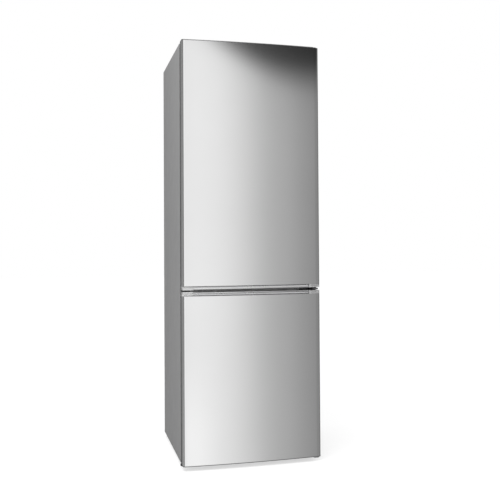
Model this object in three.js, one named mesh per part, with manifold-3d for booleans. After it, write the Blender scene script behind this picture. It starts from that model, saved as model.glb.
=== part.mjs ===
// Free-standing refrigerator, 60 cm wide, with the freezer at the bottom.
// A tall upper door closes the fridge, a lower one closes three freezer drawers. Both doors are
// hinged on the right and open at the left, by a hand slot between their coved metal edges.
// Millimetres, +Z up, doors facing -Y, origin on the floor under the middle of the object.
import * as THREE from 'three';
import { mergeVertices } from 'three/addons/utils/BufferGeometryUtils.js';
import Module from 'manifold-3d';

const wasm = await Module();
wasm.setup();

// Overall size.
const width = 600;
const height = 1800;
const depth = 650;

// Sheets, gaps and small features that many pieces share.
const steel = 1; // folded steel sheet
const plastic = 2; // thermoformed liners
const seat = 0.3; // gap between two pieces that touch
const play = 0.4; // gap around a pin that turns in its hole
const overlap = 1; // how far joined shapes run into each other

// Doors: bowed fronts with rounded upright corners.
const doorBow = 10;
const doorCorner = 8;
const doorDepth = 48;
const doorLip = 10; // folded lip along the back of the steel sides
const doorBottom = 18;
const doorCap = 3; // plate of the plastic end caps
const capPlug = 16; // how far the caps reach into the steel
const sealSpace = 20; // between the doors' backs and the cabinet's front
const sealWidth = 17;
const sealInset = 21; // from the side of the door to the gasket
const sealRise = 9; // from the top of the cabinet to the gasket
const sealDrop = 13; // from the middle of the hand slot to each gasket
const linerPlateInset = 4;

// Hand slot between the doors.
const slotLevel = 745;
const slotHeight = 13;
const coveRadius = 14.5;
const coveInset = 0.4; // how far the coved edges lie behind the steel
const coveLip = 2.6; // wall left between the cove and the finger channel
const channelDepth = 20.5;
const channelRise = 18;
const gripHeight = 26;
const endBlock = 48; // solid ends of the coved edges

// Hinges.
const hingeInset = 18; // from the side to the hinge axis
const hingeSetback = 17; // from the front corner to the hinge axis
const hingePin = 4;
const hingeNose = 14;
const hingeArm = 5;
const topHingePlate = 2.7;
const hingePinLength = 16;
const bottomArmLevel = 13;
const bottomArm = 4;

// Cabinet.
const cabinetBottom = 20;
const frontFlange = 40;
const rearFlange = 15;
const condenserSpace = 26; // depth of the open recess behind the back panel
const topSheet = 3;
const topWall = 52;
const fridgeWall = 43.5;
const freezerWall = 63;
const rearWall = 55;
const mullion = 70;
const freezerFloor = 100;
const basePlateLevel = 48;
const machineTop = 258;
const machineDepth = 225;
const stepWall = 50;

// Fridge compartment.
const ledgeWidth = 10.5;
const ledgeHeight = 8;
const glass = 4;
const glassClearance = 2.5;
const shelfFront = 122; // from the cabinet's front to the shelves
const shelfRear = 5;
const railHeight = 14;
const railDepth = 21;
const railLip = 7;
const coverRise = 175; // from the fridge's floor to the glass over the crisper
const topShelfSpace = 215; // from the ceiling down to the highest shelf
const shelfCount = 3;
const crisperHeight = 163;
const crisperRear = 48;

// Sliding boxes: crisper and freezer drawers.
const drawerSideGap = 13;
const drawerWall = 2.5;
const drawerFront = 6;
const drawerGrip = 20;
const drawerGripDepth = 14;
const freezerSetback = 22; // from the cabinet's front to the drawers
const drawerRear = 6;
const drawerHeadroom = 8;
const freezerLedge = 19;
const evaporatorTube = 4;
const evaporatorPitch = 40;
const evaporatorDrop = 6; // the lower cold tubes lie below the liner's step
const topDrawerSpace = 207; // from the freezer's ceiling down to the upper cold tubes

// Door fittings.
const dykeInset = 54; // from the door's side
const dykeWidth = 41;
const dykeDepth = 45; // from the cabinet's front into the fridge
const dykeSill = 12; // from the floor of the fridge
const dykeHead = 10; // from its ceiling
const dykeTopBar = 45;
const dykeBottomBar = 18;
const binWall = 2.5;
const binReach = 85; // from the cabinet's front into the fridge

// Control housing under the ceiling.
const controlHalf = 115;
const controlHeight = 42;
const controlFront = 82;
const controlDepth = 195;
const switchTower = 55;
const switchReach = 25;
const lensThickness = 3;
const knobRadius = 17;
const knobX = -70;
const knobDrop = 22;
const shaftRadius = 3;
const plungerRadius = 4;
const plungerX = 90;

// Machine compartment and the parts on the back.
const railLevel = 40;
const railSheet = 2;
const compressorX = 80;
const compressorInset = 110; // from the rear
const compressorRadius = 78;
const compressorStretch = 1.12;
const compressorTop = 163;
const grommet = 10;
const pipeRadius = 3;
const condenserTube = 2.5;
const condenserRuns = 17;
const condenserInset = 95; // from the side
const condenserBase = 362;
const condenserMargin = 103; // below the fridge's ceiling
const condenserPlane = 13; // from the back panel to the tube's axis

// Feet and rollers.
const footRadius = 22;
const footInset = 24;
const footBack = 25; // from the cabinet's front to the foot's axis
const studRadius = 5;
const rollerRadius = 14;
const rollerWidth = 14;
const rollerSideInset = 30;
const rollerInset = 29; // from the cabinet's rear to the roller's axle
const axleRadius = 4;

// Places worked out from the sizes above.
const halfWidth = width / 2;
const footX = halfWidth - footInset;
const rollerX = halfWidth - rollerSideInset;
const condenserHalf = halfWidth - condenserInset;
const dykeHalf = halfWidth - dykeInset;
const doorFront = -depth / 2 + doorBow;
const doorBack = doorFront + doorDepth;
const cabinetFront = doorBack + sealSpace;
const cabinetRear = depth / 2;
const machineFront = cabinetRear - machineDepth;
const compressorY = cabinetRear - compressorInset;
const backPanel = cabinetRear - condenserSpace;
const cabinetTop = height - topHingePlate - seat;
const doorShoulder = height - doorCap;
const fridgeDoorBottom = slotLevel + slotHeight / 2;
const freezerDoorTop = slotLevel - slotHeight / 2;
const hingeX = halfWidth - hingeInset;
const hingeY = doorFront + hingeSetback;
const fridgeHalf = halfWidth - fridgeWall;
const freezerHalf = halfWidth - freezerWall;
const drawerHalf = freezerHalf - drawerSideGap;
const ceiling = cabinetTop - topWall;
const fridgeFloor = slotLevel + mullion / 2;
const freezerCeiling = slotLevel - mullion / 2;
const coverLevel = fridgeFloor + coverRise;
const shelfPitch = (ceiling - topShelfSpace - coverLevel) / shelfCount;
const dykeBottom = fridgeFloor + dykeSill;
const dykeTop = ceiling - dykeHead;
const linerRear = backPanel - steel - rearWall;
const stepTop = machineTop + stepWall + plastic;
const lowerEvaporator = stepTop - evaporatorDrop;
const upperEvaporator = freezerCeiling - topDrawerSpace;
const condenserPitch = (ceiling - condenserMargin - condenserBase) / (condenserRuns - 1);
const stepFront = machineFront - stepWall;
const linerPlate = doorBack + seat;
const binBack = linerPlate + plastic + seat;
const dykeBack = cabinetFront + dykeDepth;
const sheetInside = halfWidth - steel - seat;
const flangeInside = halfWidth - frontFlange - seat;
const foamFront = cabinetFront + plastic + seat;
const axleLevel = rollerRadius;
const footY = cabinetFront + footBack;
const rollerY = cabinetRear - rollerInset;
const condenserY = backPanel + condenserPlane;
const compressorFloor = railLevel + railSheet + seat;

// ---- Shapes ----

function box(x0, x1, y0, y1, z0, z1) {
  const geometry = new THREE.BoxGeometry(x1 - x0, y1 - y0, z1 - z0);
  return geometry.translate((x0 + x1) / 2, (y0 + y1) / 2, (z0 + z1) / 2);
}

function rectangle(x0, x1, y0, y1) {
  return [[x0, y0], [x1, y0], [x1, y1], [x0, y1]];
}

function arc(cx, cy, radius, from, to, steps) {
  const points = [];
  for (let i = 0; i <= steps; i += 1) {
    const angle = from + ((to - from) * i) / steps;
    points.push([cx + radius * Math.cos(angle), cy + radius * Math.sin(angle)]);
  }
  return points;
}

function roundedRectangle(x0, x1, y0, y1, radius, steps = 4) {
  const quarter = Math.PI / 2;
  return [
    ...arc(x1 - radius, y1 - radius, radius, 0, quarter, steps),
    ...arc(x0 + radius, y1 - radius, radius, quarter, 2 * quarter, steps),
    ...arc(x0 + radius, y0 + radius, radius, 2 * quarter, 3 * quarter, steps),
    ...arc(x1 - radius, y0 + radius, radius, 3 * quarter, 4 * quarter, steps),
  ];
}

function extrude(points, length, holes = [], steps = 1) {
  const shape = new THREE.Shape(points.map(([x, y]) => new THREE.Vector2(x, y)));
  for (const hole of holes) {
    shape.holes.push(new THREE.Path(hole.map(([x, y]) => new THREE.Vector2(x, y))));
  }
  return new THREE.ExtrudeGeometry(shape, { depth: length, steps, bevelEnabled: false });
}

// Plan outline (x, y) raised from z0 to z1.
function upright(points, z0, z1, holes) {
  return extrude(points, z1 - z0, holes).translate(0, 0, z0);
}

// Front outline (x, z) carried back from y0 to y1.
function frontal(points, y0, y1, holes) {
  return extrude(points, y1 - y0, holes).rotateX(Math.PI / 2).translate(0, y1, 0);
}

// Side outline (y, z) carried across from x0 to x1.
function across(points, x0, x1, steps = 1) {
  const turn = new THREE.Matrix4().makeBasis(
    new THREE.Vector3(0, 1, 0),
    new THREE.Vector3(0, 0, 1),
    new THREE.Vector3(1, 0, 0),
  );
  return extrude(points, x1 - x0, [], steps).applyMatrix4(turn).translate(x0, 0, 0);
}

// Body turned about the Z axis from (radius, z) points that start and end on it.
function turned(points, sides) {
  const profile = points.map(([r, z]) => new THREE.Vector2(r, z));
  return new THREE.LatheGeometry(profile, sides).rotateX(Math.PI / 2);
}

function rod(radius, z0, z1, sides = 16) {
  return turned([[0, z0], [radius, z0], [radius, z1], [0, z1]], sides);
}

// Path that steps from one given station to the next.
class StationPath extends THREE.Curve {
  constructor(stations) {
    super();
    this.stations = stations;
  }

  indexAt(u) {
    return Math.round(u * (this.stations.length - 1));
  }

  getPointAt(u) {
    return this.stations[this.indexAt(u)].clone();
  }

  getTangentAt(u) {
    const index = this.indexAt(u);
    const before = this.stations[Math.max(index - 1, 0)];
    const here = this.stations[index];
    const after = this.stations[Math.min(index + 1, this.stations.length - 1)];
    const into = here.clone().sub(before).normalize();
    const out = after.clone().sub(here).normalize();
    return into.add(out).normalize();
  }
}

// Stations along a route of [x, y, z] corners, each corner rounded to the bend radius.
function bends(corners, radius, steps) {
  const points = corners.map((corner) => new THREE.Vector3(...corner));
  const stations = [points[0]];
  for (let i = 1; i < points.length - 1; i += 1) {
    const into = points[i - 1].clone().sub(points[i]);
    const out = points[i + 1].clone().sub(points[i]);
    const room = Math.min(radius, into.length() / 2.01, out.length() / 2.01);
    const start = points[i].clone().addScaledVector(into.normalize(), room);
    const end = points[i].clone().addScaledVector(out.normalize(), room);
    const centre = start.clone().add(end).sub(points[i]);
    const from = start.clone().sub(centre);
    const to = end.clone().sub(centre);
    for (let k = 0; k <= steps; k += 1) {
      const angle = (Math.PI / 2) * (k / steps);
      const station = centre.clone();
      station.addScaledVector(from, Math.cos(angle));
      station.addScaledVector(to, Math.sin(angle));
      stations.push(station);
    }
  }
  stations.push(points[points.length - 1]);
  return stations;
}

function tube(stations, radius, sides = 6) {
  const ring = arc(0, 0, radius, 0, 2 * Math.PI, sides).slice(0, sides);
  const shape = new THREE.Shape(ring.map(([x, y]) => new THREE.Vector2(x, y)));
  return new THREE.ExtrudeGeometry(shape, {
    steps: stations.length - 1,
    bevelEnabled: false,
    extrudePath: new StationPath(stations),
  });
}

// ---- Joining and cutting ----

function toSolid(geometry) {
  const bare = geometry.clone();
  bare.deleteAttribute('normal');
  bare.deleteAttribute('uv');
  const merged = mergeVertices(bare, 1e-4);
  return new wasm.Manifold(new wasm.Mesh({
    numProp: 3,
    vertProperties: new Float32Array(merged.attributes.position.array),
    triVerts: new Uint32Array(merged.index.array),
  }));
}

function toGeometry(solid) {
  const mesh = solid.getMesh();
  const geometry = new THREE.BufferGeometry();
  const positions = new Float32Array(mesh.vertProperties);
  geometry.setAttribute('position', new THREE.BufferAttribute(positions, 3));
  geometry.setIndex(new THREE.BufferAttribute(new Uint32Array(mesh.triVerts), 1));
  geometry.computeVertexNormals();
  return geometry;
}

function join(first, ...others) {
  return toGeometry(others.reduce((sum, next) => sum.add(toSolid(next)), toSolid(first)));
}

function cut(first, ...tools) {
  return toGeometry(tools.reduce((sum, next) => sum.subtract(toSolid(next)), toSolid(first)));
}

function common(first, second) {
  return toGeometry(toSolid(first).intersect(toSolid(second)));
}

// ---- Materials ----

function finish(color, roughness, metalness, opacity = 1) {
  return new THREE.MeshStandardMaterial({
    color,
    roughness,
    metalness,
    opacity,
    transparent: opacity < 1,
  });
}

function mesh(name, geometry, material) {
  const piece = new THREE.Mesh(geometry, material);
  piece.name = name;
  return piece;
}

// ---- Cabinet ----

// Folded side sheet: a front flange for the gasket to close on, and a narrower rear one.
function sidePanel(side) {
  const outside = side * halfWidth;
  const inside = side * (halfWidth - steel);
  const frontEdge = side * (halfWidth - frontFlange);
  const rearEdge = side * (halfWidth - rearFlange);
  return upright([
    [frontEdge, cabinetFront],
    [outside, cabinetFront],
    [outside, cabinetRear],
    [rearEdge, cabinetRear],
    [rearEdge, cabinetRear - steel],
    [inside, cabinetRear - steel],
    [inside, cabinetFront + steel],
    [frontEdge, cabinetFront + steel],
  ], cabinetBottom, cabinetTop);
}

// Top sheet with a header folded down behind the upper gasket.
function topPanel() {
  const flangeClear = cabinetFront + steel + seat;
  const plate = box(
    -sheetInside, sheetInside,
    flangeClear, cabinetRear - steel - seat,
    cabinetTop - topSheet, cabinetTop,
  );
  const header = box(
    -flangeInside, flangeInside,
    cabinetFront, cabinetFront + plastic,
    ceiling + plastic + seat, cabinetTop,
  );
  return join(plate, header);
}

function backPanelSheet() {
  return box(
    -sheetInside, sheetInside,
    backPanel - steel, backPanel,
    machineTop - steel, cabinetTop - topSheet - seat,
  );
}

// Floor sheet that rises over the machine compartment, with a front flange for the gasket.
function basePlate() {
  const rear = backPanel - steel - seat;
  const profile = [
    [cabinetFront, basePlateLevel],
    [machineFront, basePlateLevel],
    [machineFront, machineTop - steel],
    [rear, machineTop - steel],
    [rear, machineTop],
    [machineFront - steel, machineTop],
    [machineFront - steel, basePlateLevel + steel],
    [cabinetFront + steel, basePlateLevel + steel],
    [cabinetFront + steel, freezerFloor - plastic - seat],
    [cabinetFront, freezerFloor - plastic - seat],
  ];
  const corner = (side) => box(
    side > 0 ? flangeInside : -halfWidth,
    side > 0 ? halfWidth : -flangeInside,
    cabinetFront - overlap, cabinetFront + steel + seat,
    basePlateLevel - overlap, freezerFloor,
  );
  return cut(across(profile, -sheetInside, sheetInside), corner(-1), corner(1));
}

// Outline (y, z) of the freezer's inside, stepped over the machine compartment and grown by gap.
function freezerOutline(gap, front) {
  return [
    [front, freezerFloor - gap],
    [stepFront + gap, freezerFloor - gap],
    [stepFront + gap, stepTop - gap],
    [linerRear + gap, stepTop - gap],
    [linerRear + gap, freezerCeiling + gap],
    [front, freezerCeiling + gap],
  ];
}

function fridgeSpace(gap, front) {
  return box(
    -fridgeHalf - gap, fridgeHalf + gap,
    front, linerRear + gap,
    fridgeFloor - gap, ceiling + gap,
  );
}

const coldPlateSide = 56.5;
const coldPlateRise = 215;
const coldPlateDrop = 145;
const coldPlateHalf = fridgeHalf - coldPlateSide;
const coldPlateBottom = fridgeFloor + coldPlateRise;
const coldPlateTop = ceiling - coldPlateDrop;
const coldPlateThickness = 1.5;

function coldPlate(gap) {
  const front = linerRear + plastic + seat;
  return box(
    -coldPlateHalf - gap, coldPlateHalf + gap,
    front - gap, front + coldPlateThickness + gap,
    coldPlateBottom - gap, coldPlateTop + gap,
  );
}

// Rigid foam between the outer sheets and the liners.
function cabinetFoam() {
  const rear = backPanel - steel - seat;
  const top = cabinetTop - topSheet - seat;
  const outline = [
    [foamFront, basePlateLevel + steel + seat],
    [machineFront - steel - seat, basePlateLevel + steel + seat],
    [machineFront - steel - seat, machineTop + seat],
    [rear, machineTop + seat],
    [rear, top],
    [foamFront, top],
  ];
  const shell = plastic + seat;
  const inFront = cabinetFront - overlap;
  return cut(
    across(outline, -sheetInside, sheetInside),
    fridgeSpace(shell, inFront),
    across(freezerOutline(shell, inFront), -freezerHalf - shell, freezerHalf + shell),
    coldPlate(seat),
  );
}

const shelfLevels = [];
for (let i = 0; i <= shelfCount; i += 1) {
  shelfLevels.push(coverLevel + i * shelfPitch);
}

function fridgeLiner() {
  const shell = cut(fridgeSpace(plastic, cabinetFront), fridgeSpace(0, cabinetFront - overlap));
  const ledges = [];
  for (const level of shelfLevels) {
    for (const side of [-1, 1]) {
      const inner = side * (fridgeHalf - ledgeWidth);
      const outer = side * (fridgeHalf + overlap);
      ledges.push(box(
        Math.min(inner, outer), Math.max(inner, outer),
        cabinetFront + shelfFront - railDepth, linerRear + overlap,
        level - ledgeHeight, level,
      ));
    }
  }
  return join(shell, ...ledges);
}

function freezerLiner() {
  const inFront = cabinetFront - overlap;
  const shell = cut(
    across(freezerOutline(plastic, cabinetFront), -freezerHalf - plastic, freezerHalf + plastic),
    across(freezerOutline(0, inFront), -freezerHalf, freezerHalf),
  );
  const additions = [];
  for (const side of [-1, 1]) {
    const flangeInner = side * freezerHalf;
    const flangeOuter = side * flangeInside;
    additions.push(box(
      Math.min(flangeInner, flangeOuter), Math.max(flangeInner, flangeOuter),
      cabinetFront, cabinetFront + plastic,
      freezerFloor - plastic, freezerCeiling + plastic,
    ));
    const inner = side * (freezerHalf - freezerLedge);
    const outer = side * (freezerHalf + overlap);
    for (const [level, rear] of [[lowerEvaporator, stepFront], [upperEvaporator, linerRear]]) {
      additions.push(box(
        Math.min(inner, outer), Math.max(inner, outer),
        cabinetFront + freezerSetback + drawerFront, rear + overlap,
        level - ledgeHeight, level,
      ));
    }
  }
  return join(shell, ...additions);
}

function middleBeam() {
  return box(
    -flangeInside, flangeInside,
    cabinetFront, cabinetFront + plastic,
    freezerCeiling + plastic + seat, fridgeFloor - plastic - seat,
  );
}

const kickSheet = 3;
const kickSetback = 6;
const bracketHalf = 26;
const bracketDepth = 38;
const bracketSheet = 3;
const bracketFront = cabinetFront + 11;
const bracketTop = basePlateLevel - seat;

// Plinth between the floor sheet and the ground, cut short of the bottom hinge.
function kickPlate() {
  const front = cabinetFront + kickSetback;
  const right = footX - bracketHalf - seat;
  const face = box(-sheetInside, right, front, front + kickSheet, cabinetBottom + seat, bracketTop);
  const left = -footX + bracketHalf + seat;
  const lip = box(left, right, front, front + 6 * kickSheet, bracketTop - kickSheet, bracketTop);
  return join(face, lip);
}

function footBracket(x) {
  const outer = Math.min(x + bracketHalf, sheetInside);
  const inner = Math.max(x - bracketHalf, -sheetInside);
  return cut(
    box(inner, outer, bracketFront, bracketFront + bracketDepth, bracketTop - bracketSheet, bracketTop),
    rod(studRadius + play, 0, height).translate(x, footY, 0),
  );
}

// ---- Hinges ----

// Plan outline of an arm that ends in a round nose about the hinge axis.
function armOutline(rear) {
  return [
    [hingeX + hingeNose, rear],
    [hingeX - hingeNose, rear],
    ...arc(hingeX, hingeY, hingeNose, Math.PI, 2 * Math.PI, 12),
  ];
}

function pinAt(z0, z1, radius = hingePin) {
  return rod(radius, z0, z1).translate(hingeX, hingeY, 0);
}

const topHingeSpread = 30;
const topHingeDepth = 46;

function topHinge() {
  const underside = height - topHingePlate;
  const wing = box(
    hingeX - topHingeSpread, halfWidth - 2,
    cabinetFront + seat, cabinetFront + topHingeDepth,
    underside, height,
  );
  const arm = upright(armOutline(cabinetFront + overlap), underside, height);
  return join(wing, arm, pinAt(doorShoulder - hingePinLength + 2, underside + overlap));
}

const middlePlate = 2.7;
const middlePlateWidth = 73;
const washerRadius = 7;

function middleHinge() {
  const plate = box(
    halfWidth - 2 - middlePlateWidth, halfWidth - 2,
    cabinetFront - seat - middlePlate, cabinetFront - seat,
    slotLevel - sealDrop + 1, slotLevel + sealDrop - 1,
  );
  const low = slotLevel - hingeArm / 2;
  const high = slotLevel + hingeArm / 2;
  return join(
    plate,
    upright(armOutline(cabinetFront - seat - overlap), low, high),
    pinAt(high - overlap, fridgeDoorBottom - seat, washerRadius),
    pinAt(freezerDoorTop - hingePinLength, fridgeDoorBottom + hingePinLength),
  );
}

function bottomHinge() {
  const armTop = bottomArmLevel + bottomArm;
  const webFront = bracketFront - bottomArm - overlap;
  const web = box(
    footX - bracketHalf, halfWidth - 2,
    webFront, bracketFront + overlap,
    bottomArmLevel, bracketTop,
  );
  return join(
    footBracket(footX),
    web,
    upright(armOutline(webFront + overlap), bottomArmLevel, armTop),
    pinAt(armTop - overlap, doorBottom - seat, washerRadius),
    pinAt(armTop - overlap, doorBottom + hingePinLength),
  );
}

// ---- Doors ----

const cornerSteps = 5;
const bowSteps = 24;
const bowHalf = halfWidth - doorCorner;

function bowAt(x) {
  return doorBow * Math.max(0, 1 - (x / bowHalf) ** 2);
}

// Right side, bowed front and left side of a door's plan, drawn in by inset.
function doorOutline(inset) {
  const radius = doorCorner - inset;
  const centre = doorFront + doorCorner;
  const bow = [];
  for (let i = 1; i < bowSteps; i += 1) {
    const x = bowHalf * (1 - (2 * i) / bowSteps);
    bow.push([x, doorFront - bowAt(x) + inset]);
  }
  return [
    ...arc(bowHalf, centre, radius, 0, -Math.PI / 2, cornerSteps),
    ...bow,
    ...arc(-bowHalf, centre, radius, -Math.PI / 2, -Math.PI, cornerSteps),
  ];
}

function fullDoorPlan() {
  return [...doorOutline(0), [-halfWidth, doorBack], [halfWidth, doorBack]];
}

// Plan of what fills the steel wrap: it stays clear of the folded lips.
function doorCorePlan() {
  const side = halfWidth - steel - seat;
  const lip = halfWidth - doorLip - seat;
  const lipFront = doorBack - steel - seat;
  return [
    ...doorOutline(steel + seat),
    [-side, lipFront],
    [-lip, lipFront],
    [-lip, doorBack],
    [lip, doorBack],
    [lip, lipFront],
    [side, lipFront],
  ];
}

// One brushed steel sheet wrapped round the front and both sides.
function doorPanel(z0, z1) {
  const lip = halfWidth - doorLip;
  const inside = halfWidth - steel;
  return upright([
    ...doorOutline(0),
    [-halfWidth, doorBack],
    [-lip, doorBack],
    [-lip, doorBack - steel],
    [-inside, doorBack - steel],
    ...doorOutline(steel).reverse(),
    [inside, doorBack - steel],
    [lip, doorBack - steel],
    [lip, doorBack],
    [halfWidth, doorBack],
  ], z0, z1);
}

// Side outline (y, z) carried across the door, its front following the bow.
function bowed(points, x0, x1) {
  const geometry = across(points, x0, x1, bowSteps);
  const position = geometry.attributes.position;
  for (let i = 0; i < position.count; i += 1) {
    const y = position.getY(i);
    const share = 1 - (y - doorFront) / doorDepth;
    position.setY(i, y - bowAt(position.getX(i)) * share);
  }
  return geometry;
}

// Coved metal edge of a door, with a finger channel behind its lip.
// edge is the level of the hand slot's side and up is +1 for the upper door, -1 for the lower.
function gripEdge(edge, up) {
  const level = (rise) => edge + up * rise;
  const front = doorFront + coveInset;
  const cove = arc(front, edge, coveRadius, 0, (up * Math.PI) / 2, 8);
  const face = [...cove, [doorBack, level(coveRadius)], [doorBack, edge]];
  const channelFront = front + coveRadius + coveLip;
  const channel = [
    [channelFront, level(-overlap)],
    [channelFront + channelDepth, level(-overlap)],
    [channelFront + channelDepth, level(channelRise)],
    [channelFront, level(channelRise)],
  ];
  const low = Math.min(level(coveRadius), level(gripHeight));
  const high = Math.max(level(coveRadius), level(gripHeight));
  const channelHalf = halfWidth - endBlock;
  const pinDepth = Math.min(edge, level(hingePinLength + 2));
  return cut(
    join(
      common(bowed(face, -halfWidth, halfWidth), upright(fullDoorPlan(), 0, height)),
      upright(doorCorePlan(), low, high),
    ),
    bowed(channel, -channelHalf, channelHalf),
    pinAt(pinDepth - overlap, pinDepth + hingePinLength + 2 + overlap, hingePin + play),
  );
}

// Where the steel of each door stops beside its coved edge.
const fridgeSteelBottom = fridgeDoorBottom + coveRadius + seat;
const freezerSteelTop = freezerDoorTop - coveRadius - seat;
const capCut = hingeX - hingeNose - 13; // the cap is lower beside the hinge arm

function fridgeDoorCap() {
  return cut(
    join(
      upright(fullDoorPlan(), doorShoulder, height),
      upright(doorCorePlan(), doorShoulder - capPlug, doorShoulder),
    ),
    box(capCut, halfWidth + overlap, doorFront - overlap, 0, doorShoulder, height + overlap),
    pinAt(doorShoulder - hingePinLength, height, hingePin + play),
  );
}

function freezerDoorCap() {
  const shoulder = doorBottom + doorCap;
  return cut(
    join(
      upright(fullDoorPlan(), doorBottom, shoulder),
      upright(doorCorePlan(), shoulder, shoulder + capPlug + doorCap),
    ),
    pinAt(0, doorBottom + hingePinLength + 2, hingePin + play),
  );
}

function frame(half, z0, z1, sideWidth, bottomBar, topBar, y0, y1) {
  const hole = rectangle(-half + sideWidth, half - sideWidth, z0 + bottomBar, z1 - topBar);
  return frontal(rectangle(-half, half, z0, z1), y0, y1, [hole]);
}

// Raised ring of the fridge door's liner, drawn in on both sides by inset.
function dyke(inset, y0, y1) {
  return frame(
    dykeHalf - inset, dykeBottom + inset, dykeTop - inset,
    dykeWidth - 2 * inset, dykeBottomBar - 2 * inset, dykeTopBar - 2 * inset,
    y0, y1,
  );
}

function fridgeDoorLiner() {
  const half = halfWidth - linerPlateInset;
  const plate = box(
    -half, half,
    linerPlate, linerPlate + plastic,
    fridgeDoorBottom + linerPlateInset, doorShoulder - linerPlateInset,
  );
  return cut(
    join(plate, dyke(0, linerPlate, dykeBack)),
    dyke(plastic, linerPlate - overlap, dykeBack - plastic),
  );
}

function fridgeDoorFoam() {
  const core = upright(
    doorCorePlan(),
    fridgeDoorBottom + gripHeight + seat,
    doorShoulder - capPlug - seat,
  );
  return join(core, dyke(plastic + seat, doorBack - overlap, dykeBack - plastic - seat));
}

const reliefInset = 100;
const reliefHalf = halfWidth - reliefInset;
const reliefMargin = 60;
const reliefDepth = 4.5;
const freezerLinerBottom = doorBottom + 2 * linerPlateInset;
const reliefBottom = freezerLinerBottom + reliefMargin + 20;
const reliefTop = freezerDoorTop - linerPlateInset - reliefMargin;

function relief(inset, y0, y1) {
  const half = reliefHalf - inset;
  return box(-half, half, y0, y1, reliefBottom + inset, reliefTop - inset);
}

function freezerDoorLiner() {
  const half = halfWidth - linerPlateInset;
  const back = linerPlate + plastic;
  const plate = box(
    -half, half,
    linerPlate, back,
    freezerLinerBottom, freezerDoorTop - linerPlateInset,
  );
  return cut(
    join(plate, relief(0, linerPlate, back + reliefDepth)),
    relief(plastic, linerPlate - overlap, back + reliefDepth - plastic),
  );
}

function freezerDoorFoam() {
  const core = upright(
    doorCorePlan(),
    doorBottom + 2 * doorCap + capPlug + seat,
    freezerDoorTop - gripHeight - seat,
  );
  const raised = linerPlate + reliefDepth - seat;
  return join(core, relief(plastic + seat, doorBack - overlap, raised));
}

// Magnetic gasket: a closed frame in the gap between door and cabinet.
function gasket(z0, z1) {
  return frame(
    halfWidth - sealInset, z0, z1,
    sealWidth, sealWidth, sealWidth,
    linerPlate + plastic + seat, cabinetFront - seat,
  );
}

// Open-topped bin that hooks between the upright ribs of the door liner.
function doorBin(binHeight) {
  const half = dykeHalf - dykeWidth - seat;
  const front = cabinetFront + binReach;
  const outer = upright(roundedRectangle(-half, half, binBack, front, 6), 0, binHeight);
  const inner = upright(
    roundedRectangle(-half + binWall, half - binWall, binBack + binWall, front - binWall, 4),
    binWall, binHeight + overlap,
  );
  return cut(outer, inner);
}

const lidThickness = 2.4;
const lidBarrel = 3;
const lidInset = 4;

// Dairy compartment's flap, turning on a barrel along its back edge.
function dairyLid() {
  const half = dykeHalf - dykeWidth - lidInset;
  const reach = cabinetFront + binReach - binBack - lidBarrel;
  const plate = box(-half, half, 0, reach, seat - lidBarrel, seat - lidBarrel + lidThickness);
  const barrel = rod(lidBarrel - seat, -half, half, 12).rotateY(Math.PI / 2);
  return join(plate, barrel);
}

// ---- Fridge interior ----

function shelfGlass() {
  const half = fridgeHalf - glassClearance;
  const front = cabinetFront + shelfFront;
  return box(-half, half, front, linerRear - shelfRear, seat, seat + glass);
}

// Plastic front rail that grips the edge of a glass shelf.
function shelfRail() {
  const half = fridgeHalf - ledgeWidth - seat;
  const front = cabinetFront + shelfFront - railLip;
  const rear = front + railDepth;
  const rail = box(-half, half, front, rear, -railHeight / 3, railHeight * 2 / 3);
  const slot = box(
    -half - overlap, half + overlap,
    front + railLip - seat, rear + overlap,
    0, glass + 2 * seat,
  );
  return cut(rail, slot);
}

// Open-topped sliding box with a finger ledge along the top of its front.
function slidingBox(boxHeight, front, rear) {
  const outer = box(-drawerHalf, drawerHalf, front, rear, 0, boxHeight);
  const inner = box(
    -drawerHalf + drawerWall, drawerHalf - drawerWall,
    front + drawerFront, rear - drawerWall,
    drawerWall, boxHeight + overlap,
  );
  const gripHalf = drawerHalf / 2;
  const grip = box(
    -gripHalf, gripHalf,
    front + drawerFront - overlap, front + drawerFront + drawerGripDepth,
    boxHeight - drawerGrip, boxHeight,
  );
  const hollow = box(
    -gripHalf + drawerWall, gripHalf - drawerWall,
    front - overlap, front + drawerFront + drawerGripDepth - drawerWall,
    boxHeight - drawerGrip - overlap, boxHeight - drawerWall,
  );
  return cut(join(cut(outer, inner), grip), hollow);
}

const controlTop = ceiling - seat;
const controlBottom = controlTop - controlHeight;
const controlFace = cabinetFront + controlFront;
const lampHalf = 60;
const lampFront = controlFace + 25;
const lampLength = 120;
const lampRear = lampFront + lampLength;
const lensRim = 4;
const knobLevel = ceiling - knobDrop;
const shaftHole = 12;

// Housing for the lamp and the thermostat, with a forward tower for the light switch.
function controlHousing() {
  const body = box(
    -controlHalf, controlHalf, controlFace, controlFace + controlDepth, controlBottom, controlTop,
  );
  const tower = box(
    controlHalf - switchTower, controlHalf,
    controlFace - switchReach, controlFace + overlap,
    controlBottom, controlTop,
  );
  const lampRoom = box(
    -lampHalf, lampHalf, lampFront, lampRear, controlBottom - overlap, controlTop - 10,
  );
  const shaft = rod(shaftRadius + play, -overlap, shaftHole).rotateX(-Math.PI / 2);
  const plunger = rod(plungerRadius + play, -overlap, 2 * shaftHole).rotateX(-Math.PI / 2);
  return cut(
    join(body, tower),
    lampRoom,
    shaft.translate(knobX, controlFace, knobLevel),
    plunger.translate(plungerX, controlFace - switchReach, knobLevel),
  );
}

function lampLens() {
  return box(
    -lampHalf - lensRim, lampHalf + lensRim,
    lampFront - lensRim, lampRear + lensRim,
    controlBottom - seat - lensThickness, controlBottom - seat,
  );
}

const knobSkirt = 4;
const knobGrip = 12;

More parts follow.
